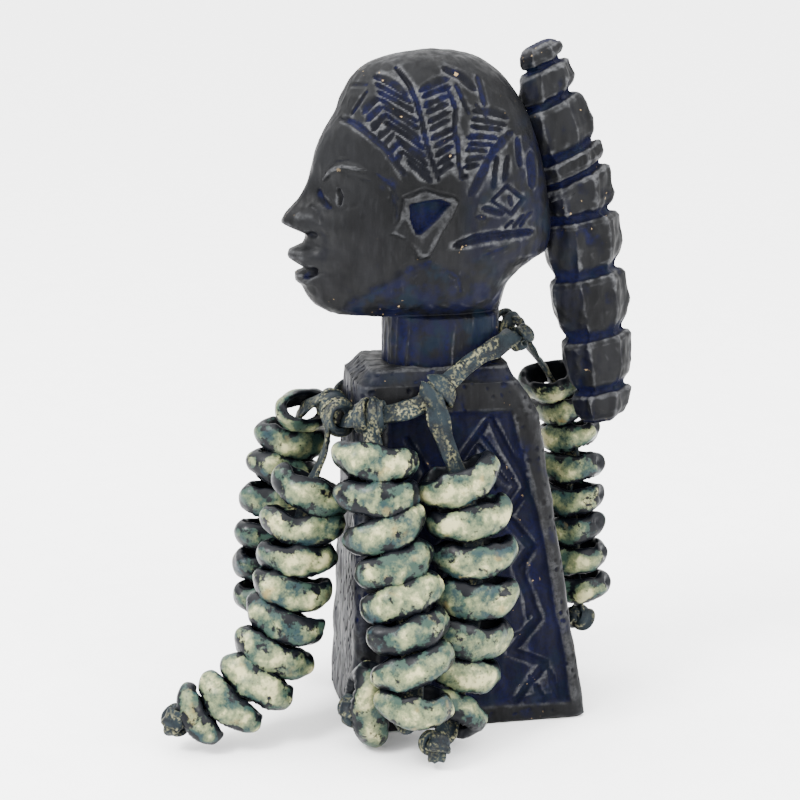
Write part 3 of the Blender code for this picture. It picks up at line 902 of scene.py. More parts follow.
class CarvedPiece:
    """One skinned stretch of the carved figure."""

    name: str = ""
    body: str = "figure"

    def skin(self, rows: Array, depth: Array, dye_and_shade: Array, facets: float,
             wood: bpy.types.Material, rub_and_highlight_share: Array | float = 1.0) -> bpy.types.Object:
        """Carve a grid of rings and make its object.

        Args:
            rows: the uncarved ring points.
            depth: how deep each point is carved.
            dye_and_shade: how much dye has soaked into each point, and how much painted shade darkens
                it.
            facets: how deep the knife's flats are, in millimetres.
            wood: the material.
            rub_and_highlight_share: how strongly each point's edges are lightened, partly as rubbed
                wear and partly as painted highlight.

        Returns:
            The finished piece.
        """
        normals = grid_normals(rows)
        flats = ripple(rows, 7.0, 11) + 0.6 * ripple(rows * (1.0, 1.0, 0.45), 3.6, 12)
        depth = depth + facets * np.abs(flats)
        carved = rows - normals * depth[..., None]
        stand = np.sum((carved - blurred(carved, 3)) * normals, axis=-1)
        cut = np.clip((depth - facets) / 0.9, 0.0, 1.0)
        # proud marks the convex ridges that the wood paints grey, partly rubbed wear and partly painted
        # highlight.
        proud = np.clip(stand / 0.30, 0.0, 1.0) * rub_and_highlight_share
        marks = {"cut": cut, "proud": proud, "dye_and_shade": np.clip(dye_and_shade, 0.0, 1.0)}
        return settle(grid_object(self.name, carved, marks), self.body, wood)


@dataclass
class Head(CarvedPiece):
    """The head and neck, carved from the same block as the rest."""

    name: str = "head_and_neck"
    half_width: Outline = Outline((
        (117.2, 10.5), (121.0, 14.2), (128.0, 16.6), (138.0, 18.4), (150.0, 19.4),
        (160.0, 19.6), (168.0, 18.8), (176.0, 16.6), (182.0, 13.2), (186.0, 9.2),
        (188.3, 4.6), (189.0, 1.6)))
    back: Outline = Outline((
        (117.2, 10.8), (124.0, 12.4), (128.6, 16.6), (131.5, 20.8), (133.6, 24.0),
        (140.0, 25.0), (151.0, 23.6), (161.0, 21.4), (170.0, 18.4), (177.0, 14.6),
        (183.0, 9.6), (187.0, 3.5), (188.6, -2.5), (189.0, -6.0)))
    face_base: Outline = Outline((
        (117.2, -35.5), (120.0, -39.0), (124.0, -40.8), (130.0, -41.8), (138.0, -42.2),
        (145.0, -41.6), (152.0, -40.2), (160.0, -39.4), (166.0, -38.2), (172.0, -35.6),
        (178.0, -33.0), (182.0, -30.6), (185.6, -26.0), (188.0, -18.0), (189.0, -10.0)))
    profile: Outline = Outline((
        (117.2, -37.5), (120.0, -42.0), (123.0, -43.8), (125.4, -45.2), (126.6, -46.8),
        (128.4, -47.0), (129.8, -44.6), (131.4, -46.8), (133.4, -49.0), (135.0, -48.4),
        (136.8, -44.6), (139.0, -44.0), (140.8, -47.4), (142.6, -50.5), (144.4, -49.9),
        (147.0, -47.6), (150.5, -44.8), (155.5, -42.6), (161.0, -41.2), (166.0, -39.2),
        (172.0, -35.6), (178.0, -33.0), (189.0, -10.0)))
    feature: Outline = Outline((
        (117.2, 8.5), (124.0, 8.0), (127.5, 7.0), (133.5, 7.2), (137.0, 5.0),
        (140.5, 6.2), (143.0, 5.8), (147.0, 4.2), (152.0, 3.2), (160.0, 5.0), (189.0, 9.0)))
    middle: float = -8.0
    squareness: float = 2.25
    neck_half_width: float = 12.2
    neck_front: float = -22.5
    neck_back: float = 10.5
    neck_foot: float = 101.5
    neck_top: float = 116.4
    jaw: float = 117.2
    crown: float = 188.6
    half_columns: int = 200
    front_bias: float = 1.35
    ear_rim: tuple[Point2, ...] = (
        (-19.9, 150.6), (-14.2, 152.9), (-10.2, 151.6), (-5.9, 150.4), (-4.8, 149.0),
        (-6.3, 145.3), (-9.7, 139.7), (-12.4, 134.0), (-15.5, 133.6), (-18.8, 138.6),
        (-22.9, 140.6), (-20.9, 146.0))
    ear_hollow: tuple[Point2, ...] = (
        (-18.4, 149.0), (-14.4, 149.9), (-10.4, 150.4), (-6.9, 148.9), (-10.4, 144.6),
        (-15.0, 140.4), (-16.4, 140.4), (-18.3, 145.0))
    jaw_line: tuple[Point2, ...] = (
        (-46.0, 120.6), (-36.0, 122.6), (-23.5, 128.6), (-12.6, 133.4), (-4.0, 131.0),
        (8.0, 126.0), (20.0, 122.0))
    ear_shift: Point2 = (0.6, -0.8)
    ear_rise: float = 2.6
    ear_depth: float = 2.9
    ear_roll: float = 0.5
    eye_place: Point2 = (9.6, 151.0)
    eye_reach: float = 4.2
    eye_depth: float = 1.5
    flute_depth: float = 0.30
    facets: float = 0.09
    neck_rows: int = 36
    throat_rows: int = 28
    head_rows: int = 178
    crown_rows: int = 8
    swellings: tuple[tuple[Point3, Point3, float], ...] = (
        ((9.5, -38.0, 150.6), (3.2, 4.5, 2.8), 1.1),
        ((5.0, -45.5, 144.6), (2.4, 3.6, 2.0), 1.2),
        ((12.5, -33.0, 142.0), (6.0, 8.0, 6.5), 0.9),
        ((10.0, -38.0, 157.2), (6.5, 6.0, 2.2), 0.7),
        ((0.0, -46.0, 123.0), (5.0, 5.0, 3.0), 0.5),
        ((8.5, -37.0, 147.0), (4.5, 5.0, 1.8), -0.5),
        ((9.5, -41.0, 137.5), (3.0, 4.0, 4.5), -0.5))

    def ring(self, height: Array, step: Array) -> Array:
        """Return the head's ring points on the +X side.

        Args:
            height: the rings' heights, down the first axis.
            step: 0 at the face to 1 at the back, along the second axis.

        Returns:
            Points as (height, step, xyz).
        """
        z = height[:, None]
        turn = np.pi * step[None, :] ** self.front_bias
        power = 2.0 / self.squareness
        x = self.half_width.at(z) * np.maximum(np.sin(turn), 0.0) ** power
        along = np.sign(np.cos(turn)) * np.abs(np.cos(turn)) ** power
        front = self.face_base.at(z)
        reach = np.where(along > 0, self.middle - front, self.back.at(z) - self.middle)
        y = self.middle - reach * along
        proud = np.maximum(front - self.profile.at(z), 0.0)
        y = y - np.where(y < self.middle, proud / (1.0 + (x / self.feature.at(z)) ** 4), 0.0)
        gap = np.hypot(x - self.eye_place[0], z - self.eye_place[1]) / self.eye_reach
        y = y + np.where(y < self.middle, self.eye_depth * np.exp(-gap * gap), 0.0)
        return np.stack([x, y, np.broadcast_to(z, x.shape)], axis=-1)

    def neck_ring(self, step: Array) -> Array:
        """Return the neck's ring on the +X side.

        Args:
            step: 0 at the front to 1 at the back.

        Returns:
            The points, in millimetres.
        """
        middle = (self.neck_front + self.neck_back) / 2
        turn = np.pi * step ** self.front_bias
        x = self.neck_half_width * np.maximum(np.sin(turn), 0.0) ** 0.8
        along = np.sign(np.cos(turn)) * np.abs(np.cos(turn)) ** 0.8
        y = middle - (self.neck_back - middle) * along
        return np.stack([x, y], axis=-1)

    def rows(self) -> Array:
        """Return the whole uncarved head and neck as a grid of rings.

        Returns:
            Points as (ring, place in ring, xyz).
        """
        step = np.linspace(0.0, 1.0, self.half_columns + 1)
        neck = self.neck_ring(step)
        rings = []
        for z in np.linspace(self.neck_foot, self.neck_top, self.neck_rows):
            rings.append(np.column_stack([neck, np.full(len(neck), z)]))
        chin = self.ring(np.array([self.jaw]), step)[0]
        throat = rings[-1]
        for share in np.linspace(0.0, 1.0, self.throat_rows + 2)[1:-1]:
            rings.append(throat * (1 - share) + chin * share)
        for ring in self.ring(np.linspace(self.jaw, self.crown, self.head_rows), step):
            rings.append(ring)
        top = rings[-1]
        centre = np.array([0.0, top[:, 1].mean(), self.crown + 0.5])
        for share in np.linspace(0.0, 0.96, self.crown_rows + 1)[1:]:
            ring = top * (1 - share) + centre * share
            ring[:, 2] = self.crown + 0.5 * math.sin(share * math.pi / 2)
            rings.append(ring)
        half = np.array(rings)
        other = half[:, 1:-1][:, ::-1] * (-1.0, 1.0, 1.0)
        return np.concatenate([half, other], axis=1)

    def features(self, points: Array) -> Array:
        """Return how far the soft swellings of the face stand out at each point.

        Args:
            points: the uncarved points.

        Returns:
            The rise, in millimetres.
        """
        swell = np.zeros(points.shape[:-1])
        for centre, size, height in self.swellings:
            gap = (np.abs(points[..., 0]) - centre[0]) / size[0]
            gap = gap ** 2 + ((points[..., 1] - centre[1]) / size[1]) ** 2
            gap = gap + ((points[..., 2] - centre[2]) / size[2]) ** 2
            swell += height * np.exp(-gap)
        return swell

    def ears(self, points: Array) -> tuple[Array, Array]:
        """Return how far the ears stand out, and how deep their hollows go.

        Args:
            points: the uncarved points.

        Returns:
            The rise sideways and the depth sideways, in millimetres.
        """
        along = points[..., 1] + self.ear_shift[0]
        up = points[..., 2] + self.ear_shift[1]
        rim = inside_distance(along, up, self.ear_rim)
        hollow = inside_distance(along, up, self.ear_hollow)
        on_side = smooth_step(8.0, 12.0, np.abs(points[..., 0]))
        rise = self.ear_rise * smooth_step(-0.5, 0.9, rim)
        rise += self.ear_roll * np.exp(-((rim - 0.9) / 0.7) ** 2)
        lobe = smooth_step(-14.5, -18.5, along) * smooth_step(147.0, 141.0, up)
        rise *= 1.0 - 0.65 * lobe
        return rise * on_side, self.ear_depth * smooth_step(-0.1, 1.1, hollow) * on_side

    def build(self, wood: bpy.types.Material) -> bpy.types.Object:
        """Carve the head and return it.

        Args:
            wood: the wood's material.

        Returns:
            The head and neck.
        """
        rows = self.rows()
        along, up = drawing_place(rows)
        rise, hollow = self.ears(rows)
        bare_ear = 1.0 - smooth_step(-0.6, 0.4, inside_distance(
            rows[..., 1] + self.ear_shift[0], rows[..., 2] + self.ear_shift[1], self.ear_rim))
        depth = carve(along, up, hair_cuts() + nape_cuts() + face_cuts()) * bare_ear
        depth *= smooth_step(2.0, 4.5, np.abs(rows[..., 0]))
        on_neck = smooth_step(118.0, 115.5, rows[..., 2])
        flutes = np.abs(ripple(rows * (1.0, 1.0, 0.12), 5.0, 51))
        depth = depth * (1.0 - on_neck) + self.flute_depth * flutes * on_neck
        depth -= self.features(rows)
        side = np.sign(rows[..., 0])
        carved = rows.copy()
        carved[..., 0] += side * (rise - hollow)
        jaw_line = np.interp(along, *zip(*self.jaw_line))
        under_jaw = smooth_step(0.8, -1.6, up - jaw_line)
        behind = smooth_step(-6.0, 1.0, along) * smooth_step(160.0, 152.0, up)
        to_braid = smooth_step(9.0, 14.0, along) * smooth_step(176.0, 166.0, up)
        # Painted shade with indigo dye: under the jaw, behind the ear, towards the braid and in the
        # ear's hollow, where shade falls.
        dye_and_shade = np.maximum(under_jaw * smooth_step(-42.0, -30.0, along), 0.45 * behind)
        dye_and_shade = np.maximum(dye_and_shade, 0.75 * to_braid)
        dye_and_shade = np.maximum(dye_and_shade, np.clip(hollow / 1.6, 0.0, 1.0))
        # Rubbed wear and painted highlight are weaker on the face and on the ears' rims.
        on_face = smooth_step(-22.0, -27.0, along) * smooth_step(166.0, 161.0, up)
        rub_and_highlight_share = 1.0 - 0.3 * on_face - 0.4 * np.clip(rise, 0.0, 1.0)
        piece = self.skin(carved, depth, dye_and_shade, self.facets, wood, rub_and_highlight_share)
        # The ear's hollow also gets the cut mark, so the wood paints it with shade and indigo dye.
        cut = piece.data.attributes["cut"]
        values = np.zeros(len(cut.data), np.float32)
        cut.data.foreach_get("value", values)
        values[:hollow.size] = np.maximum(values[:hollow.size], np.clip(hollow / 2.0, 0, 1).ravel())
        cut.data.foreach_set("value", values)
        return piece


@dataclass
class Block(CarvedPiece):
    """The tapering block that stands for the body, with its carved side panels."""

    name: str = "body_block"
    sections: tuple[tuple[float, float, float, float, float], ...] = (
        (0.0, 21.2, -34.2, 32.2, 3.6), (0.8, 22.0, -35.0, 33.0, 3.6),
        (88.6, 16.75, -31.89, 19.5, 4.2), (98.8, 16.1, -31.5, 13.6, 4.2),
        (99.6, 15.3, -30.7, 12.8, 4.2), (103.0, 13.1, -27.5, 11.2, 4.2))
    levels: tuple[int, ...] = (4, 214, 25, 4, 10)
    flat_columns: int = 40
    corner_columns: int = 10
    side_columns: int = 88
    panel: tuple[Point2, ...] = (
        (-28.4, 5.6), (28.6, 4.4), (27.2, 19.6), (24.6, 31.0), (21.6, 49.0),
        (15.8, 75.0), (13.4, 82.0), (11.4, 91.4), (-24.6, 91.4))
    panel_depth: float = 1.35
    shoulder: float = 99.6
    facets: float = 0.05
    unevenness: float = 0.20
    nick_depth: float = 0.5

    def half_ring(self, half_width: float, front: float, back: float,
                  corner: float) -> Array:
        """Return one ring's points on the +X side, with rounded corners.

        Args:
            half_width: half of the ring's width.
            front: its front face.
            back: its back face.
            corner: its corners' radius.

        Returns:
            The points as (place, xy), from the front to the back.
        """
        flat = np.linspace(0.0, 1.0, self.flat_columns + 1)[:-1]
        turn = np.linspace(0.0, 1.0, self.corner_columns + 1)[:-1]
        side = np.linspace(0.0, 1.0, self.side_columns + 1)[:-1]
        bow = np.sin(turn * np.pi / 2) ** 0.8, 1.0 - np.cos(turn * np.pi / 2) ** 0.8
        inner = half_width - corner
        x = np.concatenate([
            inner * flat, inner + corner * bow[0], np.full(len(side), half_width),
            half_width - corner * bow[1], inner * (1.0 - flat), [0.0]])
        y = np.concatenate([
            np.full(len(flat), front), front + corner * bow[1],
            front + corner + (back - front - 2 * corner) * side,
            back - corner + corner * bow[0], np.full(len(flat), back), [back]])
        return np.stack([x, y], axis=-1)

    def rows(self) -> Array:
        """Return the uncarved block as a grid of rings.

        Returns:
            Points as (ring, place in ring, xyz).
        """
        rings = []
        for low, high, count in zip(self.sections, self.sections[1:], self.levels):
            for share in np.linspace(0.0, 1.0, count + 1)[:-1]:
                z, *sizes = [a + (b - a) * share for a, b in zip(low, high)]
                ring = self.half_ring(*sizes)
                rings.append(np.column_stack([ring, np.full(len(ring), z)]))
        z, *sizes = self.sections[-1]
        ring = self.half_ring(*sizes)
        for share in (1.0, 0.8, 0.5):
            rings.append(np.column_stack([ring * share, np.full(len(ring), z)]))
        half = np.array(rings)
        other = half[:, 1:-1][:, ::-1] * (-1.0, 1.0, 1.0)
        return np.concatenate([half, other], axis=1)

    def panel_cuts(self) -> list[Cut]:
        """Return the chip-carved zigzags and chevrons of a side panel.

        Returns:
            The cuts.
        """
        back_zigzag = ((5.0, 88.8), (10.4, 78.0), (15.4, 68.4), (9.6, 60.2), (16.8, 51.0),
                       (12.9, 45.4), (18.6, 30.0), (11.2, 20.8), (20.6, 16.6), (12.0, 5.4))
        front_zigzag = ((5.0, 88.8), (-1.6, 79.6), (-8.6, 68.4), (-2.6, 60.2), (-9.6, 51.0),
                        (-5.6, 45.4), (-13.0, 30.0), (-5.2, 20.8), (-15.0, 16.6), (-6.0, 5.4))
        cuts = [
            Cut(back_zigzag, 1.9, 1.3),
            Cut(front_zigzag, 1.9, 1.3),
            Cut(((5.4, 86.6), (9.6, 79.6), (13.8, 71.6)), 1.0, 0.9),
            Cut(((2.6, 83.6), (7.2, 77.0), (12.0, 71.2)), 1.0, 0.9),
            Cut(((1.6, 81.4), (5.6, 75.4), (10.2, 69.6)), 1.3, 1.1),
            Cut(((1.6, 81.4), (-2.0, 75.8), (-5.6, 69.8)), 1.3, 1.1),
            Cut(((0.2, 77.6), (3.4, 73.6), (6.4, 68.2)), 0.9, 0.8),
            Cut(((0.4, 77.6), (-2.2, 73.0)), 0.9, 0.8),
            Cut(((7.4, 75.8), (12.6, 68.6), (8.6, 62.6)), 1.4, 1.0),
            Cut(((14.8, 47.6), (14.6, 38.6), (16.4, 31.2)), 0.9, 0.9),
            Cut(((12.2, 44.0), (15.4, 37.0), (16.0, 30.0)), 1.0, 0.9),
            Cut(((2.8, 56.0), (6.4, 46.0), (2.6, 36.0), (-1.4, 46.0), (2.8, 56.0)), 1.3, 1.0),
            Cut(((8.6, 24.4), (16.0, 26.4)), 0.9, 0.7),
            Cut(((21.6, 15.8), (16.2, 10.8), (11.4, 4.8)), 1.3, 1.1),
            Cut(((18.2, 10.6), (20.6, 4.8)), 1.0, 0.9),
            Cut(((21.8, 14.8), (25.4, 5.0)), 1.1, 0.9),
            Cut(((16.0, 13.4), (18.4, 8.6)), 0.8, 0.8),
            Cut(((-18.6, 84.0), (-13.0, 74.0), (-18.8, 62.0)), 1.3, 1.0),
            Cut(((-20.0, 50.0), (-14.6, 40.0), (-21.4, 27.0)), 1.3, 1.0),
        ]
        return cuts

    def build(self, wood: bpy.types.Material) -> bpy.types.Object:
        """Carve the block and return it.

        Args:
            wood: the wood's material.

        Returns:
            The block.
        """
        rows = self.rows()
        across, along, up = rows[..., 0], rows[..., 1], rows[..., 2]
        face = grid_normals(rows)[..., 0] * np.sign(across)
        on_side = smooth_step(0.80, 0.97, face) * smooth_step(99.2, 98.0, up)
        inside = inside_distance(along, up, self.panel)
        sunk = smooth_step(-0.2, 2.2, inside)
        cuts = carve(along, up, self.panel_cuts()) * smooth_step(0.4, 1.6, inside)
        depth = (self.panel_depth * sunk + cuts) * on_side
        wall = smooth_step(-0.4, 0.9, inside) * smooth_step(3.4, 1.4, inside) * on_side
        worn = self.unevenness * ripple(rows, 16.0, 21) + 0.05 * ripple(rows * (1.0, 1.0, 0.5), 5.0, 22)
        nicks = np.clip(ripple(rows, 2.6, 23) - 1.05, 0.0, 1.0) * (1.0 - sunk * on_side)
        depth += (worn + self.nick_depth * nicks) * smooth_step(0.0, 1.2, up)
        # Painted shade with indigo dye: on the panels' walls, on the collar under the head, on the
        # shaded front face and in the sunk panels.
        collar = smooth_step(98.5, 100.0, up) * smooth_step(103.2, 101.4, up)
        front = smooth_step(-27.0, -31.0, along + 0.02 * (self.shoulder - up))
        dye_and_shade = np.maximum(0.55 * wall, np.maximum(0.40 * collar, 0.45 * front))
        dye_and_shade = np.maximum(dye_and_shade, 0.50 * sunk * on_side)
        # The block's rubbed wear and painted highlight are weaker, and a little stronger in its panels.
        rub_and_highlight_share = 0.6 + 0.2 * sunk * on_side
        return self.skin(rows, depth, dye_and_shade, self.facets, wood, rub_and_highlight_share)


@dataclass
class Braid(CarvedPiece):
    """The long braid of notched lengths that hangs from the crown."""

    name: str = "braid"
    notches: tuple[tuple[float, float, float, float], ...] = (
        (184.2, 27.4, 10.5, 4.8), (174.3, 31.0, 14.5, 6.2), (159.8, 37.0, 17.0, 7.0),
        (153.5, 39.6, 18.0, 7.3), (142.4, 43.2, 19.5, 7.4), (126.1, 45.4, 20.0, 7.3),
        (108.3, 47.8, 18.4, 6.9), (92.3, 48.9, 15.8, 6.2))
    top: tuple[float, float, float, float] = (190.2, 24.4, 7.6, 3.8)
    end: tuple[float, float, float, float] = (82.2, 47.0, 11.0, 5.0)
    bulge: float = 2.0
    columns: int = 176
    levels_per_mm: float = 2.9
    sides: int = 7
    notch_depth: float = 0.9
    facets: float = 0.10

    def rows(self) -> tuple[Array, Array]:
        """Return the uncarved braid as rings, and how near each point is to a notch.

        Returns:
            Points as (ring, place in ring, xyz), and 0 to 1 for each point.
        """
        stops = np.array((self.top,) + self.notches + (self.end,))
        turn = 2 * np.pi * (np.arange(self.columns) + 0.5) / self.columns
        rings, marks = [], []
        rng = np.random.default_rng(31)
        for k, (upper, lower) in enumerate(zip(stops, stops[1:])):
            count = max(8, int((upper[0] - lower[0]) * self.levels_per_mm))
            twist = 0.5 + rng.uniform(-0.16, 0.16)
            flat = np.cos(np.pi / self.sides)
            wedge = (turn * self.sides / (2 * np.pi) + twist) % 1.0 - 0.5
            facet = flat / np.cos(wedge * 2 * np.pi / self.sides)
            for share in np.linspace(0.0, 1.0, count + 1)[:-1]:
                z, outer, depth, half = upper + (lower - upper) * share
                rise = min(share / 0.15, 1.0) if share < 0.5 else min((1.0 - share) / 0.38, 1.0)
                swell = self.bulge * rise
                if k == 0 and share < 0.3:
                    swell *= share / 0.3
                outer, depth = outer + swell, depth + swell * 1.6
                half = half + swell * 0.6
                along = np.sin(turn) * depth / 2 * facet
                x = half * np.cos(turn) * facet
                lean = 0.20 if z < 150 else 0.45
                rings.append(np.stack([x, outer - depth / 2 + along, z + along * lean], axis=-1))
                marks.append(np.full(self.columns, 1.0 - rise))
        last = rings[-1]
        centre = last.mean(axis=0) - (0.0, 0.0, 0.4)
        for share in (0.15, 0.45, 0.8):
            rings.append(last * (1 - share) + centre * share)
            marks.append(np.full(self.columns, 0.2))
        return np.array(rings)[::-1], np.array(marks)[::-1]

    def build(self, wood: bpy.types.Material) -> bpy.types.Object:
        """Carve the braid and return it.

        Args:
            wood: the wood's material.

        Returns:
            The braid.
        """
        rows, notch = self.rows()
        depth = 0.18 * ripple(rows, 9.0, 32) + 0.12 * ripple(rows * (1.0, 1.0, 0.4), 3.5, 33)
        depth += self.notch_depth * smooth_step(0.45, 1.0, notch)
        # Painted shade with indigo dye: in the notches and on the braid's side that faces the head.
        inner = rows[..., 1] < rows[..., 1].mean(axis=1, keepdims=True) - 3.5
        dye_and_shade = 0.75 * smooth_step(0.45, 0.95, notch) + 0.35 * inner
        return self.skin(rows, depth, dye_and_shade, self.facets, wood)


# ------------------------------------------------------------------ the leather


def faced(tangents: Array, wanted: Array) -> Array:
    """Return wanted directions made square to a strip's direction.

    Args:
        tangents: the strip's unit directions.
        wanted: the directions to turn square.

    Returns:
        The squared unit directions.
    """
    square = wanted - tangents * np.sum(wanted * tangents, axis=-1, keepdims=True)
    return square / np.maximum(np.linalg.norm(square, axis=-1, keepdims=True), 1e-6)


def outward(points: Array) -> Array:
    """Return directions that point away from the figure's middle and a little up.

    Args:
        points: positions in millimetres.

    Returns:
        A direction for each point.
    """
    away = points * (1.0, 0.8, 0.0) + (0.0, 4.0, 0.0)
    away /= np.maximum(np.linalg.norm(away, axis=-1, keepdims=True), 1e-6)
    return away + (0.0, 0.0, 0.55)


@dataclass
class Strip:
    """A flat leather strip swept along a line.

    facing gives the direction of its flat face at each point of the line.
    """

    name: str
    width: float
    thickness: float
    seed: int
    facing: Callable[[Array], Array] = outward
    sway: float = 0.35
    spacing: float = 0.45
    around: int = 22

    def sweep(self, centres: Array) -> bpy.types.Object:
        """Return the strip's mesh along a line of points.

        Args:
            centres: the line, in millimetres, closely spaced.

        Returns:
            The new object.
        """
        count = len(centres)
        way = np.gradient(centres, axis=0)
        way /= np.maximum(np.linalg.norm(way, axis=1, keepdims=True), 1e-9)
        normal = faced(way, self.facing(centres))
        for _ in range(6):
            near = np.roll(normal, 1, axis=0) + normal + np.roll(normal, -1, axis=0)
            normal[1:-1] = faced(way, near)[1:-1]
        side = np.cross(way, normal)
        travelled = np.arange(count) * self.spacing
        line = np.stack([travelled, np.zeros(count), np.zeros(count)], axis=-1)
        angle = self.sway * ripple(line, 26.0, self.seed)
        across = side * np.cos(angle)[:, None] + normal * np.sin(angle)[:, None]
        face = normal * np.cos(angle)[:, None] - side * np.sin(angle)[:, None]
        width = self.width * (1.0 + 0.10 * ripple(line, 11.0, self.seed + 1))
        turn = 2 * np.pi * np.arange(self.around) / self.around
        flat = np.sign(np.cos(turn)) * np.abs(np.cos(turn)) ** 0.75
        high = np.sign(np.sin(turn)) * np.abs(np.sin(turn)) ** 0.62
        u = flat[None, :] * width[:, None] / 2
        v = np.broadcast_to(high[None, :] * self.thickness / 2, u.shape).copy()
        spot = np.stack([
            np.broadcast_to(travelled[:, None] * 0.35, u.shape), u, v * 2.0], axis=-1)
        crease = ripple(spot, 2.4, self.seed + 2) * 0.22 + ripple(spot, 6.0, self.seed + 3) * 0.2
        curl = 0.10 * (u / (self.width / 2)) ** 2 * self.thickness * (
            1.0 + ripple(line, 15.0, self.seed + 4))[:, None]
        v = v * (1.0 + 0.5 * crease) + 0.5 * crease + curl
        rows = centres[:, None] + across[:, None] * u[..., None] + face[:, None] * v[..., None]
        proud = np.clip(0.55 + crease * 1.6, 0.0, 1.0)
        ends = np.minimum(travelled, travelled[::-1])
        taper = smooth_step(-0.4, 0.8, ends)[:, None, None]
        rows = centres[:, None] + (rows - centres[:, None]) * taper
        return grid_object(self.name, rows[:, ::-1], {"proud": proud[:, ::-1]})

    def along(self, route: Route, start: float = 0.0, end: float | None = None) -> bpy.types.Object:
        """Return the strip's mesh along part of a route.

        Args:
            route: the line to follow.
            start: where the strip starts on it, in millimetres.
            end: where it ends, or None for the route's end.

        Returns:
            The new object.
        """
        end = route.length if end is None else end
        count = int((end - start) / self.spacing) + 1
        return self.sweep(route.at(np.linspace(start, end, count)))


def knot_line(middle: Array, turn: Matrix, size: float, count: int) -> Array:
    """Return the line of an overhand knot.

    Args:
        middle: the knot's centre.
        turn: how the knot lies.
        size: about a third of its width, in millimetres.
        count: how many points the line has.

    Returns:
        The line's points.
    """
    t = np.linspace(0.35, 2 * np.pi + 0.05, count)
    line = np.stack([
        np.sin(t) + 2 * np.sin(2 * t), np.cos(t) - 2 * np.cos(2 * t), -np.sin(3 * t)], axis=-1)
    line = line * (0.5, 0.5, 0.75) * size
    return line @ np.array(turn.to_3x3()).T + middle


def ring_line(middle: Array, axis: Array, up: Array, reach: float, rise: float,
              count: int) -> Array:
    """Return a loop round an axis, a little more than one turn.

    Args:
        middle: the loop's centre.
        axis: the unit direction that the loop goes round.
        up: a direction square to the axis.
        reach: the loop's half size away from up.
        rise: the loop's half size along up.
        count: how many points it has.

    Returns:
        The loop's points.
    """
    side = np.cross(axis, up)
    t = np.linspace(-0.3, 2 * np.pi + 0.3, count)[:, None]
    creep = np.linspace(-0.6, 0.6, count)[:, None]
    swell = 1.0 + 0.05 * np.linspace(-1.0, 1.0, count)[:, None]
    return middle + swell * (side * np.cos(t) * reach + up * np.sin(t) * rise) + axis * creep


NECK_ROUTE: tuple[Point3, ...] = (
    (2.9, 14.6, 109.8), (6.8, 12.6, 109.4), (11.6, 7.8, 108.0), (15.4, 0.5, 105.4),
    (18.8, -7.0, 100.7), (20.2, -14.0, 95.5), (20.4, -21.0, 93.0), (18.3, -29.4, 91.4),
    (12.6, -34.2, 89.6), (6.0, -34.6, 88.6), (0.0, -34.6, 88.3), (-6.0, -34.6, 88.6),
    (-12.6, -34.2, 89.6), (-18.3, -29.4, 91.4), (-20.4, -21.0, 93.0),
    (-20.2, -14.0, 95.5), (-18.8, -7.0, 100.7), (-15.4, 0.5, 105.4),
    (-11.6, 7.8, 108.0), (-6.8, 12.6, 109.4), (-3.2, 15.2, 108.6), (0.6, 17.6, 106.6),
)


class StrandPlan(NamedTuple):
    """A strand's route and its cowries' places, sizes, lean, last turns and tilts.

    tilts gives how far the first shells' front ends hang down, in degrees.
    """

    name: str
    route: tuple[Point3, ...]
    stops: tuple[float, ...]
    scales: tuple[float, ...]
    long_axis: Point3 = (0.0, 1.0, 0.0)
    lean: float = 0.0
    spins: tuple[float, ...] = ()
    tilts: tuple[float, ...] = ()


def evenly(first: float, pitch: float, count: int) -> tuple[float, ...]:
    """Return the distances of shells that sit a pitch apart.

    Args:
        first: the first shell's distance.
        pitch: the distance from shell to shell.
        count: how many shells there are.

    Returns:
        The shells' distances along the thong.
    """
    return tuple(first + pitch * i for i in range(count))


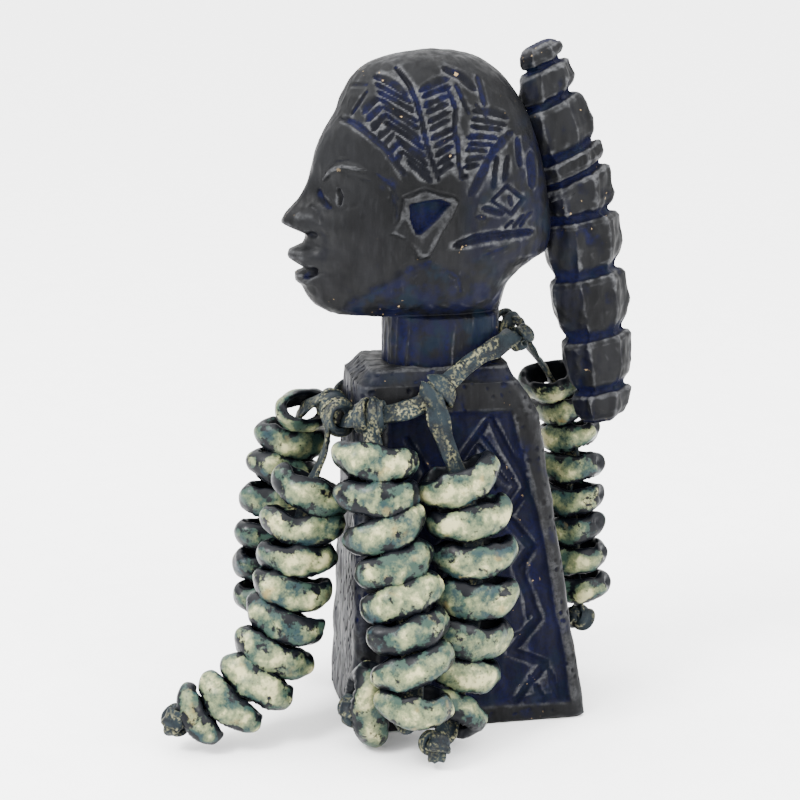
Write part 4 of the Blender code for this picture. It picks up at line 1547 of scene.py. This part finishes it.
STRANDS: tuple[StrandPlan, ...] = (
    StrandPlan("front_left", (
        (6.0, -34.6, 91.9), (6.2, -37.4, 91.2), (6.4, -38.6, 88.0), (6.8, -40.0, 80.0),
        (7.6, -43.6, 71.0), (8.6, -46.8, 61.0), (9.8, -48.8, 51.0), (12.0, -50.6, 42.0),
        (14.6, -53.4, 33.0), (17.0, -57.0, 24.5), (19.8, -62.0, 17.4),
        (22.0, -69.0, 12.9), (23.2, -76.5, 10.6), (23.4, -84.0, 9.0), (23.4, -87.5, 8.4),
    ), evenly(27.5, 9.3, 7) + (92.9, 102.0), (1.0,) * 6 + (0.97, 0.92, 0.78), lean=0.34,
        tilts=(-16.0, -4.0, 6.0, -6.0, -14.0, -12.0, -8.0)),
    StrandPlan("left_front", (
        (18.3, -29.4, 94.8), (20.9, -30.0, 94.4), (22.4, -30.1, 91.6), (24.2, -29.7, 86.0),
        (26.9, -29.6, 79.0), (29.5, -29.2, 70.0), (32.2, -27.4, 61.0), (35.0, -25.6, 52.0),
        (37.8, -24.0, 43.5), (41.0, -22.8, 35.5), (43.8, -22.4, 27.5), (45.4, -22.4, 18.6),
        (44.0, -23.6, 11.9), (38.8, -24.2, 10.6), (33.6, -25.2, 11.8),
        (31.4, -28.6, 12.6), (31.0, -34.0, 12.4), (30.4, -39.6, 10.4),
    ), evenly(17.5, 9.4, 7) + (84.2, 109.4), (1.0,) * 7 + (0.94, 1.02), spins=(84.0,),
        tilts=(-17.0, -9.0, 1.0, 8.0, 7.0, 5.0, 14.0)),
    StrandPlan("left_side", (
        (19.0, -13.4, 99.5), (22.6, -13.0, 99.2), (24.4, -12.6, 96.0), (25.2, -10.5, 87.0),
        (26.0, -6.5, 76.0), (26.8, -4.0, 66.0), (27.8, -2.6, 56.0), (28.8, -2.2, 46.0),
        (29.8, -3.2, 36.0), (30.6, -5.2, 26.0), (32.6, -7.6, 16.6), (37.6, -10.2, 10.4),
        (43.6, -13.6, 7.8), (48.0, -17.0, 6.6), (50.0, -19.0, 6.0),
    ), evenly(30.5, 10.8, 6) + (96.8,), (1.04,) * 5 + (0.98, 0.84),
        tilts=(9.0, 4.0)),
    StrandPlan("front_right", (
        (-5.4, -34.6, 91.9), (-6.2, -38.2, 91.6), (-8.2, -41.6, 89.0), (-12.4, -43.6, 86.0),
        (-16.4, -44.8, 82.0), (-17.3, -46.2, 76.0), (-16.5, -48.5, 69.0),
        (-15.5, -51.0, 60.5), (-14.6, -52.5, 51.5), (-14.2, -53.5, 43.0),
        (-14.0, -54.0, 34.0), (-14.0, -54.0, 25.0), (-14.0, -54.0, 19.0),
    ), (13.2,) + evenly(25.2, 9.5, 6), (0.8,) + (0.96,) * 6),
    StrandPlan("back", (
        (-4.8, 14.4, 112.4), (-5.6, 17.6, 111.6), (-6.4, 19.4, 108.2), (-8.6, 22.8, 102.0),
        (-12.0, 27.4, 96.0), (-15.2, 31.8, 89.0), (-16.2, 35.0, 80.4), (-15.0, 36.6, 71.4),
        (-13.6, 36.6, 62.0), (-13.0, 36.6, 54.0), (-13.0, 37.2, 45.0), (-13.0, 38.0, 36.5),
        (-13.0, 39.0, 28.5), (-13.0, 40.0, 20.0), (-13.0, 40.5, 15.0),
    ), evenly(29.0, 9.25, 8), (0.86,) * 3 + (0.9,) * 5, (0.5, 0.85, 0.0)),
)


# ------------------------------------------------------------------- the shells


@dataclass
class CutCowrie:
    """One cowrie with its back cut open, strung through its toothed slit."""

    length: float = 23.5
    width: float = 15.6
    thickness: float = 10.4
    end_taper: float = 0.24
    slot_length: float = 12.5
    slot_width: float = 5.2
    top_length: float = 16.5
    top_width: float = 9.6
    tooth_pitch: float = 1.75
    tooth_depth: float = 0.55
    around: int = 96
    wall_steps: int = 34

    def wall(self, turn: Array, rng: np.random.Generator) -> Array:
        """Return the wall's guide points at each angle round the shell.

        Args:
            turn: the angles.
            rng: this shell's own random numbers.

        Returns:
            Points as (angle, guide, xyz), round the wall's closed section.
        """
        c, s = np.cos(turn), np.sin(turn)
        blunt = s * (1.0 + 0.10 * c)
        level = np.stack([np.sign(c) * np.abs(c) ** 0.86, blunt], axis=-1)
        outer = level * (self.length / 2, self.width / 2)
        slot = level * (self.slot_length / 2, self.slot_width / 2)
        top = level * (self.top_length / 2, self.top_width / 2)
        half = self.thickness / 2 * (1.0 - self.end_taper * c * c)
        lumps = 1.0 + 0.10 * np.sin(turn * 3 + rng.uniform(0, 6)) * rng.uniform(0.3, 1.0)
        ragged = 0.06 * np.sin(turn * 5 + rng.uniform(0, 6)) + 0.03 * np.sin(
            turn * 11 + rng.uniform(0, 6))
        wall = outer - top
        guides = [
            (slot, -0.62), (slot + (outer - slot) * 0.28, -0.96),
            (slot + (outer - slot) * 0.68, -0.86), (outer * 0.965, -0.48),
            (outer * 1.01, -0.04), (outer * 0.965, 0.42), (top + wall * 0.56, 0.80),
            (top + wall * 0.22, 0.92 + ragged), (top * 0.985, 0.74 + ragged),
            (top * 0.82 + slot * 0.18, 0.28), (top * 0.45 + slot * 0.55, -0.30),
        ]
        points = []
        for place, level_z in guides:
            z = level_z * half * (lumps if np.max(level_z) > 0 else 1.0)
            points.append(np.column_stack([place, np.broadcast_to(z, c.shape)]))
        return np.stack(points, axis=1)

    def build(self, name: str, place: Matrix, scale: float, seed: int) -> bpy.types.Object:
        """Return one shell's object in its place.

        Args:
            name: the object's name.
            place: where it sits and how it lies, in millimetres.
            scale: its size.
            seed: picks its unevenness and its tone.

        Returns:
            The new object.
        """
        rng = np.random.default_rng(seed)
        turn = 2 * np.pi * np.arange(self.around) / self.around
        guides = self.wall(turn, rng)
        count = guides.shape[1]
        at = np.arange(self.wall_steps) * count / self.wall_steps
        i = at.astype(int)
        t = (at - i)[None, :, None]
        a, b, c, d = [guides[:, (i + k) % count] for k in (-1, 0, 1, 2)]
        rows = 0.5 * (2 * b + (c - a) * t + (2 * a - 5 * b + 4 * c - d) * t * t
                      + (3 * b - 3 * c + d - a) * t ** 3)
        share = at / count
        lip = np.exp(-((share - 0.10) / 0.065) ** 2)[None, :]
        beat = 0.5 + 0.5 * np.cos(
            rows[..., 0] * 2 * np.pi / self.tooth_pitch + np.sign(rows[..., 1]) * 0.9)
        on_long = smooth_step(0.25, 0.55, np.abs(np.sin(turn)))[:, None]
        tooth = lip * on_long * (1.0 - beat ** 0.8)
        margin = np.exp(-((share - 0.27) / 0.07) ** 2)[None, :]
        knob = margin * np.sin(rows[..., 0] * 2 * np.pi / 4.3 + rng.uniform(0, 6)) * on_long
        inner = smooth_step(0.70, 0.80, share)[None, :] * np.ones((self.around, 1))
        shift = np.array((seed % 97, seed % 31, 0.0))
        uneven = ripple(rows + shift * 40.0, 10.0, 41) * 0.34
        uneven += ripple(rows + shift * 40.0, 4.2, 42) * 0.03
        end_pit = np.exp(-((rows[..., 0] - self.length * 0.47) / 1.7) ** 2
                         - (rows[..., 1] / 1.9) ** 2 - ((rows[..., 2] - 0.6) / 1.7) ** 2)
        end_rim = np.exp(-((np.hypot(rows[..., 1], rows[..., 2] - 0.6) - 2.9) / 0.8) ** 2)
        end_rim *= smooth_step(7.5, 9.5, rows[..., 0])
        middle = rows.mean(axis=1, keepdims=True)
        out = rows - middle
        out /= np.maximum(np.linalg.norm(out, axis=-1, keepdims=True), 1e-6)
        push = uneven * (1.0 - 0.6 * inner) - self.tooth_depth * tooth + 0.08 * knob
        push += 0.45 * end_rim - 1.7 * end_pit
        rows = rows + out * push[..., None]
        bend = rng.uniform(1.2, 2.6)
        rows[..., 2] += bend * (rows[..., 0] / (self.length / 2)) ** 2 - bend * 0.4
        rows[..., 2] *= rng.uniform(0.97, 1.05)
        # Painted shade: the cut-open inside, the teeth, the underside and the end hole are marked to be
        # painted dark, where shade falls.
        under = smooth_step(0.20, 0.06, share)[None, :] * np.ones((self.around, 1))
        cut = np.clip(0.95 * inner + 0.7 * tooth + 0.45 * under + 1.2 * end_pit, 0.0, 1.0)
        seam = np.exp(-((share - 0.62) / 0.06) ** 2)[None, :]
        cut = np.clip(cut + 0.12 * seam, 0.0, 1.0)
        # Painted shade and highlight, partly dye: lowest on the belly's crown, which the glaze paints
        # lighter, and highest towards the rims, the ends and the underside, which it paints darker and
        # where dye also gathers.
        belly = np.exp(-((share - 0.37) / 0.15) ** 2)[None, :] * np.ones((self.around, 1))
        ends = smooth_step(0.55, 1.0, np.abs(np.cos(turn)))[:, None]
        shade = np.clip(1.0 - belly + 0.45 * ends - 0.3 * uneven - 0.3 * end_rim, 0.0, 1.0)
        turned = np.array(place.to_3x3())
        rows = (rows * scale) @ turned.T + np.array(place.translation)
        tone = np.full(cut.shape, rng.uniform(0.0, 1.0))
        return shell_object(name, rows, {"cut": cut, "shade": shade, "tone": tone})


def shell_object(name: str, rows: Array, marks: dict[str, Array]) -> bpy.types.Object:
    """Skin a grid that closes on itself both ways, such as a ring-shaped wall.

    Args:
        name: the new object's name.
        rows: wall points in millimetres, as (angle, place in wall, xyz).
        marks: values for named attributes, one for each grid point.

    Returns:
        The new object, shaded smooth.
    """
    count, around = rows.shape[:2]
    index = np.arange(count * around).reshape(count, around)
    right = np.roll(index, -1, axis=1)
    after = np.roll(index, -1, axis=0)
    corner = np.roll(right, -1, axis=0)
    quads = np.stack([index, right, corner, after], axis=-1).reshape(-1, 4)
    mesh = bpy.data.meshes.new(name)
    mesh.vertices.add(count * around)
    mesh.vertices.foreach_set("co", (rows.reshape(-1, 3) * MM).astype(np.float32).ravel())
    mesh.loops.add(quads.size)
    mesh.loops.foreach_set("vertex_index", quads.astype(np.int32).ravel())
    mesh.polygons.add(len(quads))
    mesh.polygons.foreach_set("loop_start", np.arange(0, quads.size, 4, dtype=np.int32))
    mesh.update(calc_edges=True)
    for key, value in marks.items():
        layer = mesh.attributes.new(key, "FLOAT", "POINT")
        layer.data.foreach_set("value", value.astype(np.float32).ravel())
    mesh.shade_smooth()
    thing = bpy.data.objects.new(name, mesh)
    bpy.context.scene.collection.objects.link(thing)
    return thing


def shell_places(plan: StrandPlan, route: Route) -> list[Matrix]:
    """Return where each shell of a strand sits, square to its thong or sagging.

    Args:
        plan: the strand.
        route: its thong's line.

    Returns:
        A matrix for each shell, in millimetres.
    """
    tangent = None
    axis = Vector(plan.long_axis)
    spins = (0.0,) * (len(plan.stops) - len(plan.spins)) + plan.spins
    places = []
    at = plan.stops[0]
    for stop, spin in zip(plan.stops, spins):
        while at <= stop:
            fresh = Vector(route.at(at + 0.5) - route.at(at - 0.5)).normalized()
            if tangent is not None:
                axis = tangent.rotation_difference(fresh) @ axis
            axis = (axis - fresh * axis.dot(fresh)).normalized()
            tangent = fresh
            at += 1.0
        normal = tangent.lerp(Vector((0.0, 0.0, -1.0)), plan.lean).normalized()
        long_way = tangent.rotation_difference(normal) @ axis
        side = (-normal).cross(long_way)
        turn = Matrix((long_way, side, -normal)).transposed().to_4x4()
        turn = turn @ Matrix.Rotation(math.radians(spin), 4, "Z")
        places.append(Matrix.Translation(Vector(route.at(stop))) @ turn)
    return places


@dataclass
class Strand:
    """A leather thong with its hitch, its cowries and its end knot."""

    plan: StrandPlan
    seed: int
    width: float = 5.6
    thickness: float = 1.5
    bend: tuple[float, float] = (0.8, 8.5)
    wobble: float = 0.05
    knot_from_end: float = 2.6
    knot_size: float = 2.15
    knot_width: float = 4.8
    knot_thickness: float = 2.2
    turn_gap: float = 2.3
    turn_width: float = 4.2
    turn_reach: float = 3.1
    turn_rise: float = 3.9
    turn_offset: float = 1.5
    pieces: list[bpy.types.Object] = field(default_factory=list)

    def thong(self, leather: bpy.types.Material) -> bpy.types.Object:
        """Make the thong, which stands for its plain tube.

        Args:
            leather: the leather's material.

        Returns:
            The thong.
        """
        name = "strap_" + self.plan.name
        strip = Strip(name, self.width, self.thickness, self.seed)
        route = Route(self.plan.route)
        thing = settle(strip.along(route), None, leather)
        start, end = (tuple(float(v) * MM for v in route.at(stop)) for stop in self.bend)
        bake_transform(thing)
        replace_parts(thing, "thong_" + self.plan.name)
        return thing

    def shells(self, glaze: bpy.types.Material) -> None:
        """Make the cowries, each standing for its plain ring.

        Args:
            glaze: the shells' material.
        """
        route = Route(self.plan.route)
        places = shell_places(self.plan, route)
        rng = np.random.default_rng(self.seed + 500)
        for i, (place, scale) in enumerate(zip(places, self.plan.scales)):
            label = f"{self.plan.name}_{i + 1:02d}"
            drop = math.radians(self.plan.tilts[i]) if i < len(self.plan.tilts) else 0.0
            tilt = Matrix.Rotation(rng.normal(0.0, self.wobble), 4, "X")
            tilt = tilt @ Matrix.Rotation(rng.normal(0.0, self.wobble) - drop, 4, "Y")
            tilt = tilt @ Matrix.Rotation(rng.normal(0.0, 2 * self.wobble), 4, "Z")
            shell = CutCowrie().build("shell_" + label, place @ tilt, scale, self.seed * 31 + i)
            settle(shell, "strand_" + self.plan.name, glaze)
            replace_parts(shell, "cowrie_" + label)
            self.pieces.append(shell)

    def end_knot(self, leather: bpy.types.Material) -> None:
        """Make the knot that keeps the shells on.

        Args:
            leather: the leather's material.
        """
        route = Route(self.plan.route)
        middle = route.at(route.length - self.knot_from_end)
        way = Vector(route.at(route.length) - route.at(route.length - 2.0)).normalized()
        turn = way.to_track_quat("Z", "Y").to_matrix().to_4x4()
        line = knot_line(middle, turn, self.knot_size, 120)
        strip = Strip("knot_" + self.plan.name, self.knot_width, self.knot_thickness,
                      self.seed + 60, lambda points: points - middle, 0.2, 0.3)
        knot = settle(strip.sweep(line), "strand_" + self.plan.name, leather)
        self.pieces.append(knot)

    def hitch(self, leather: bpy.types.Material, neck: Route) -> list[bpy.types.Object]:
        """Make the turns that hold the thong on the neck thong.

        Args:
            leather: the leather's material.
            neck: the neck thong's line.

        Returns:
            The two turns.
        """
        turns = []
        start = np.array(self.plan.route[0])
        gaps = np.linalg.norm(neck.fine - start, axis=1)
        near = int(np.argmin(gaps))
        middle = neck.fine[near]
        axis = neck.fine[min(near + 3, len(neck.fine) - 1)] - neck.fine[max(near - 3, 0)]
        axis /= np.linalg.norm(axis)
        away = faced(axis[None], outward(middle[None]) - (0.0, 0.0, 0.55))[0]
        up = np.cross(away, axis)
        up *= np.sign(up[2]) if abs(up[2]) > 0.1 else 1.0
        for k, shift in enumerate((-self.turn_gap, self.turn_gap)):
            centre = middle + axis * shift + away * self.turn_offset
            line = ring_line(centre, axis, up, self.turn_reach, self.turn_rise, 60)
            strip = Strip(f"hitch_{self.plan.name}_{k + 1}", self.turn_width, self.thickness,
                          self.seed + 70 + k, lambda points: points - middle, 0.15, 0.4)
            turns.append(settle(strip.sweep(line), "figure", leather))
        return turns


# ------------------------------------------------------------------- the studio


@dataclass
class Studio:
    """The camera, the soft lights and the pale floor."""

    azimuth: float = 79.0
    elevation: float = 14.0
    distance: float = 570.0
    target: Point3 = (0.0, -17.5, 91.0)
    lens: float = 90.8
    floor_size: float = 80.0
    key_place: Point3 = (0.35, -0.75, 0.95)
    key_size: float = 0.35
    key_watts: float = 26.0
    side_place: Point3 = (0.80, 0.65, 0.55)
    side_size: float = 0.45
    side_watts: float = 10.0
    lit_point: Point3 = (0.0, -0.01, 0.08)
    low_sky: float = 1.25
    high_sky: float = 6.2

    def camera(self) -> None:
        """Place the camera."""
        turn, tilt = math.radians(self.azimuth), math.radians(self.elevation)
        back = Vector((
            math.sin(turn) * math.cos(tilt), -math.cos(turn) * math.cos(tilt), math.sin(tilt)))
        data = bpy.data.cameras.new("camera")
        data.lens = self.lens
        data.sensor_width = 36.0
        data.clip_start = 0.01
        camera = bpy.data.objects.new("camera", data)
        camera.location = (Vector(self.target) + back * self.distance) * MM
        camera.rotation_euler = back.to_track_quat("Z", "Y").to_euler()
        bpy.context.scene.collection.objects.link(camera)
        bpy.context.scene.camera = camera

    def lamp(self, name: str, place: Point3, size: float, watts: float) -> None:
        """Add a square soft light that points at the doll.

        Args:
            name: the light's name.
            place: where it stands, in metres.
            size: its square's side, in metres.
            watts: its power.
        """
        data = bpy.data.lights.new(name, "AREA")
        data.shape = "SQUARE"
        data.size = size
        data.energy = watts
        light = bpy.data.objects.new(name, data)
        light.location = place
        way = Vector(place) - Vector(self.lit_point)
        light.rotation_euler = way.to_track_quat("Z", "Y").to_euler()
        bpy.context.scene.collection.objects.link(light)

    def lights(self) -> None:
        """Add the lights and the pale sky."""
        self.lamp("key", self.key_place, self.key_size, self.key_watts)
        self.lamp("side", self.side_place, self.side_size, self.side_watts)
        world = bpy.data.worlds.new("sky")
        world.use_nodes = True
        tree = world.node_tree
        place = tree.nodes.new("ShaderNodeTexCoord")
        parts = tree.nodes.new("ShaderNodeSeparateXYZ")
        ramp = tree.nodes.new("ShaderNodeMapRange")
        tree.links.new(place.outputs["Generated"], parts.inputs["Vector"])
        tree.links.new(parts.outputs["Z"], ramp.inputs["Value"])
        ramp.inputs["From Min"].default_value = 0.05
        ramp.inputs["From Max"].default_value = 0.85
        ramp.inputs["To Min"].default_value = self.low_sky
        ramp.inputs["To Max"].default_value = self.high_sky
        sky = tree.nodes["Background"]
        sky.inputs["Color"].default_value = (1.0, 1.0, 1.0, 1.0)
        tree.links.new(ramp.outputs["Result"], sky.inputs["Strength"])
        bpy.context.scene.world = world

    def floor(self, board: bpy.types.Material) -> None:
        """Lay the floor.

        Args:
            board: the floor's material.
        """
        half = self.floor_size / 2
        mesh = bpy.data.meshes.new("floor")
        mesh.from_pydata(
            [(-half, -half, 0.0), (half, -half, 0.0), (half, half, 0.0), (-half, half, 0.0)],
            [], [(0, 1, 2, 3)])
        mesh.materials.append(board)
        floor = bpy.data.objects.new("floor", mesh)
        bpy.context.scene.collection.objects.link(floor)


def cord_path(route: Route, spacing: float = 0.45) -> list[list[float]]:
    """Return a route's points in metres.

    Args:
        route: the cord's line.
        spacing: how far apart the points are, in millimetres.

    Returns:
        The points, from the cord's exit to its end.
    """
    return (route.at(np.arange(0.0, route.length, spacing)) * MM).tolist()


def declare(strand: Strand) -> None:
    """Work out the points of a strand's thong, in metres, and drop them.

    Args:
        strand: the strand.
    """
    route = Route(strand.plan.route)
    cord_path(route)


@dataclass
class NeckThong:
    """The thong tied round the neck, with the knot at its nape."""

    width: float = 5.2
    thickness: float = 1.6
    knot_place: Point3 = (3.0, 16.4, 108.2)
    knot_size: float = 1.9
    knot_width: float = 3.8
    seed: int = 301

    def knot(self, leather: bpy.types.Material) -> bpy.types.Object:
        """Make the knot at the nape.

        Args:
            leather: the leather's material.

        Returns:
            The knot.
        """
        middle = np.array(self.knot_place)
        turn = Matrix.Rotation(math.radians(70.0), 4, "X") @ Matrix.Rotation(0.5, 4, "Z")
        tie = Strip("nape_knot", self.knot_width, self.thickness, self.seed + 32,
                    lambda points: points - middle, 0.2, 0.3)
        line = knot_line(middle, turn, self.knot_size, 120)
        return settle(tie.sweep(line), "figure", leather)

    def build(self, leather: bpy.types.Material, hitches: list[bpy.types.Object]) -> None:
        """Args:
            leather: the leather's material.
            hitches: not used.
        """
        route = Route(NECK_ROUTE)
        strip = Strip("neck_strap", self.width, self.thickness, self.seed)
        strap = settle(strip.along(route), "figure", leather)
        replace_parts(strap, "neck_thong")
        cord_path(route)
        self.knot(leather)


def main() -> None:
    """Build the doll and its studio."""
    logging.basicConfig(level=logging.INFO, format="%(message)s")
    studio = Studio()
    studio.camera()
    wood = CarvedWood().make()
    leather = DyedLeather().make()
    glaze = CowrieGlaze().make()
    neck = Route(NECK_ROUTE)
    hitches = []
    for k, plan in enumerate(STRANDS):
        strand = Strand(plan, 100 + 17 * k)
        thong = strand.thong(leather)
        strand.shells(glaze)
        strand.end_knot(leather)
        hitches += strand.hitch(leather, neck)
        declare(strand)
    NeckThong().build(leather, hitches)
    for piece in (Block(), Head(), Braid()):
        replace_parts(piece.build(wood), "carved_figure")
    studio.floor(PaleBoard().make())
    studio.lights()


if __name__ == "__main__":
    main()
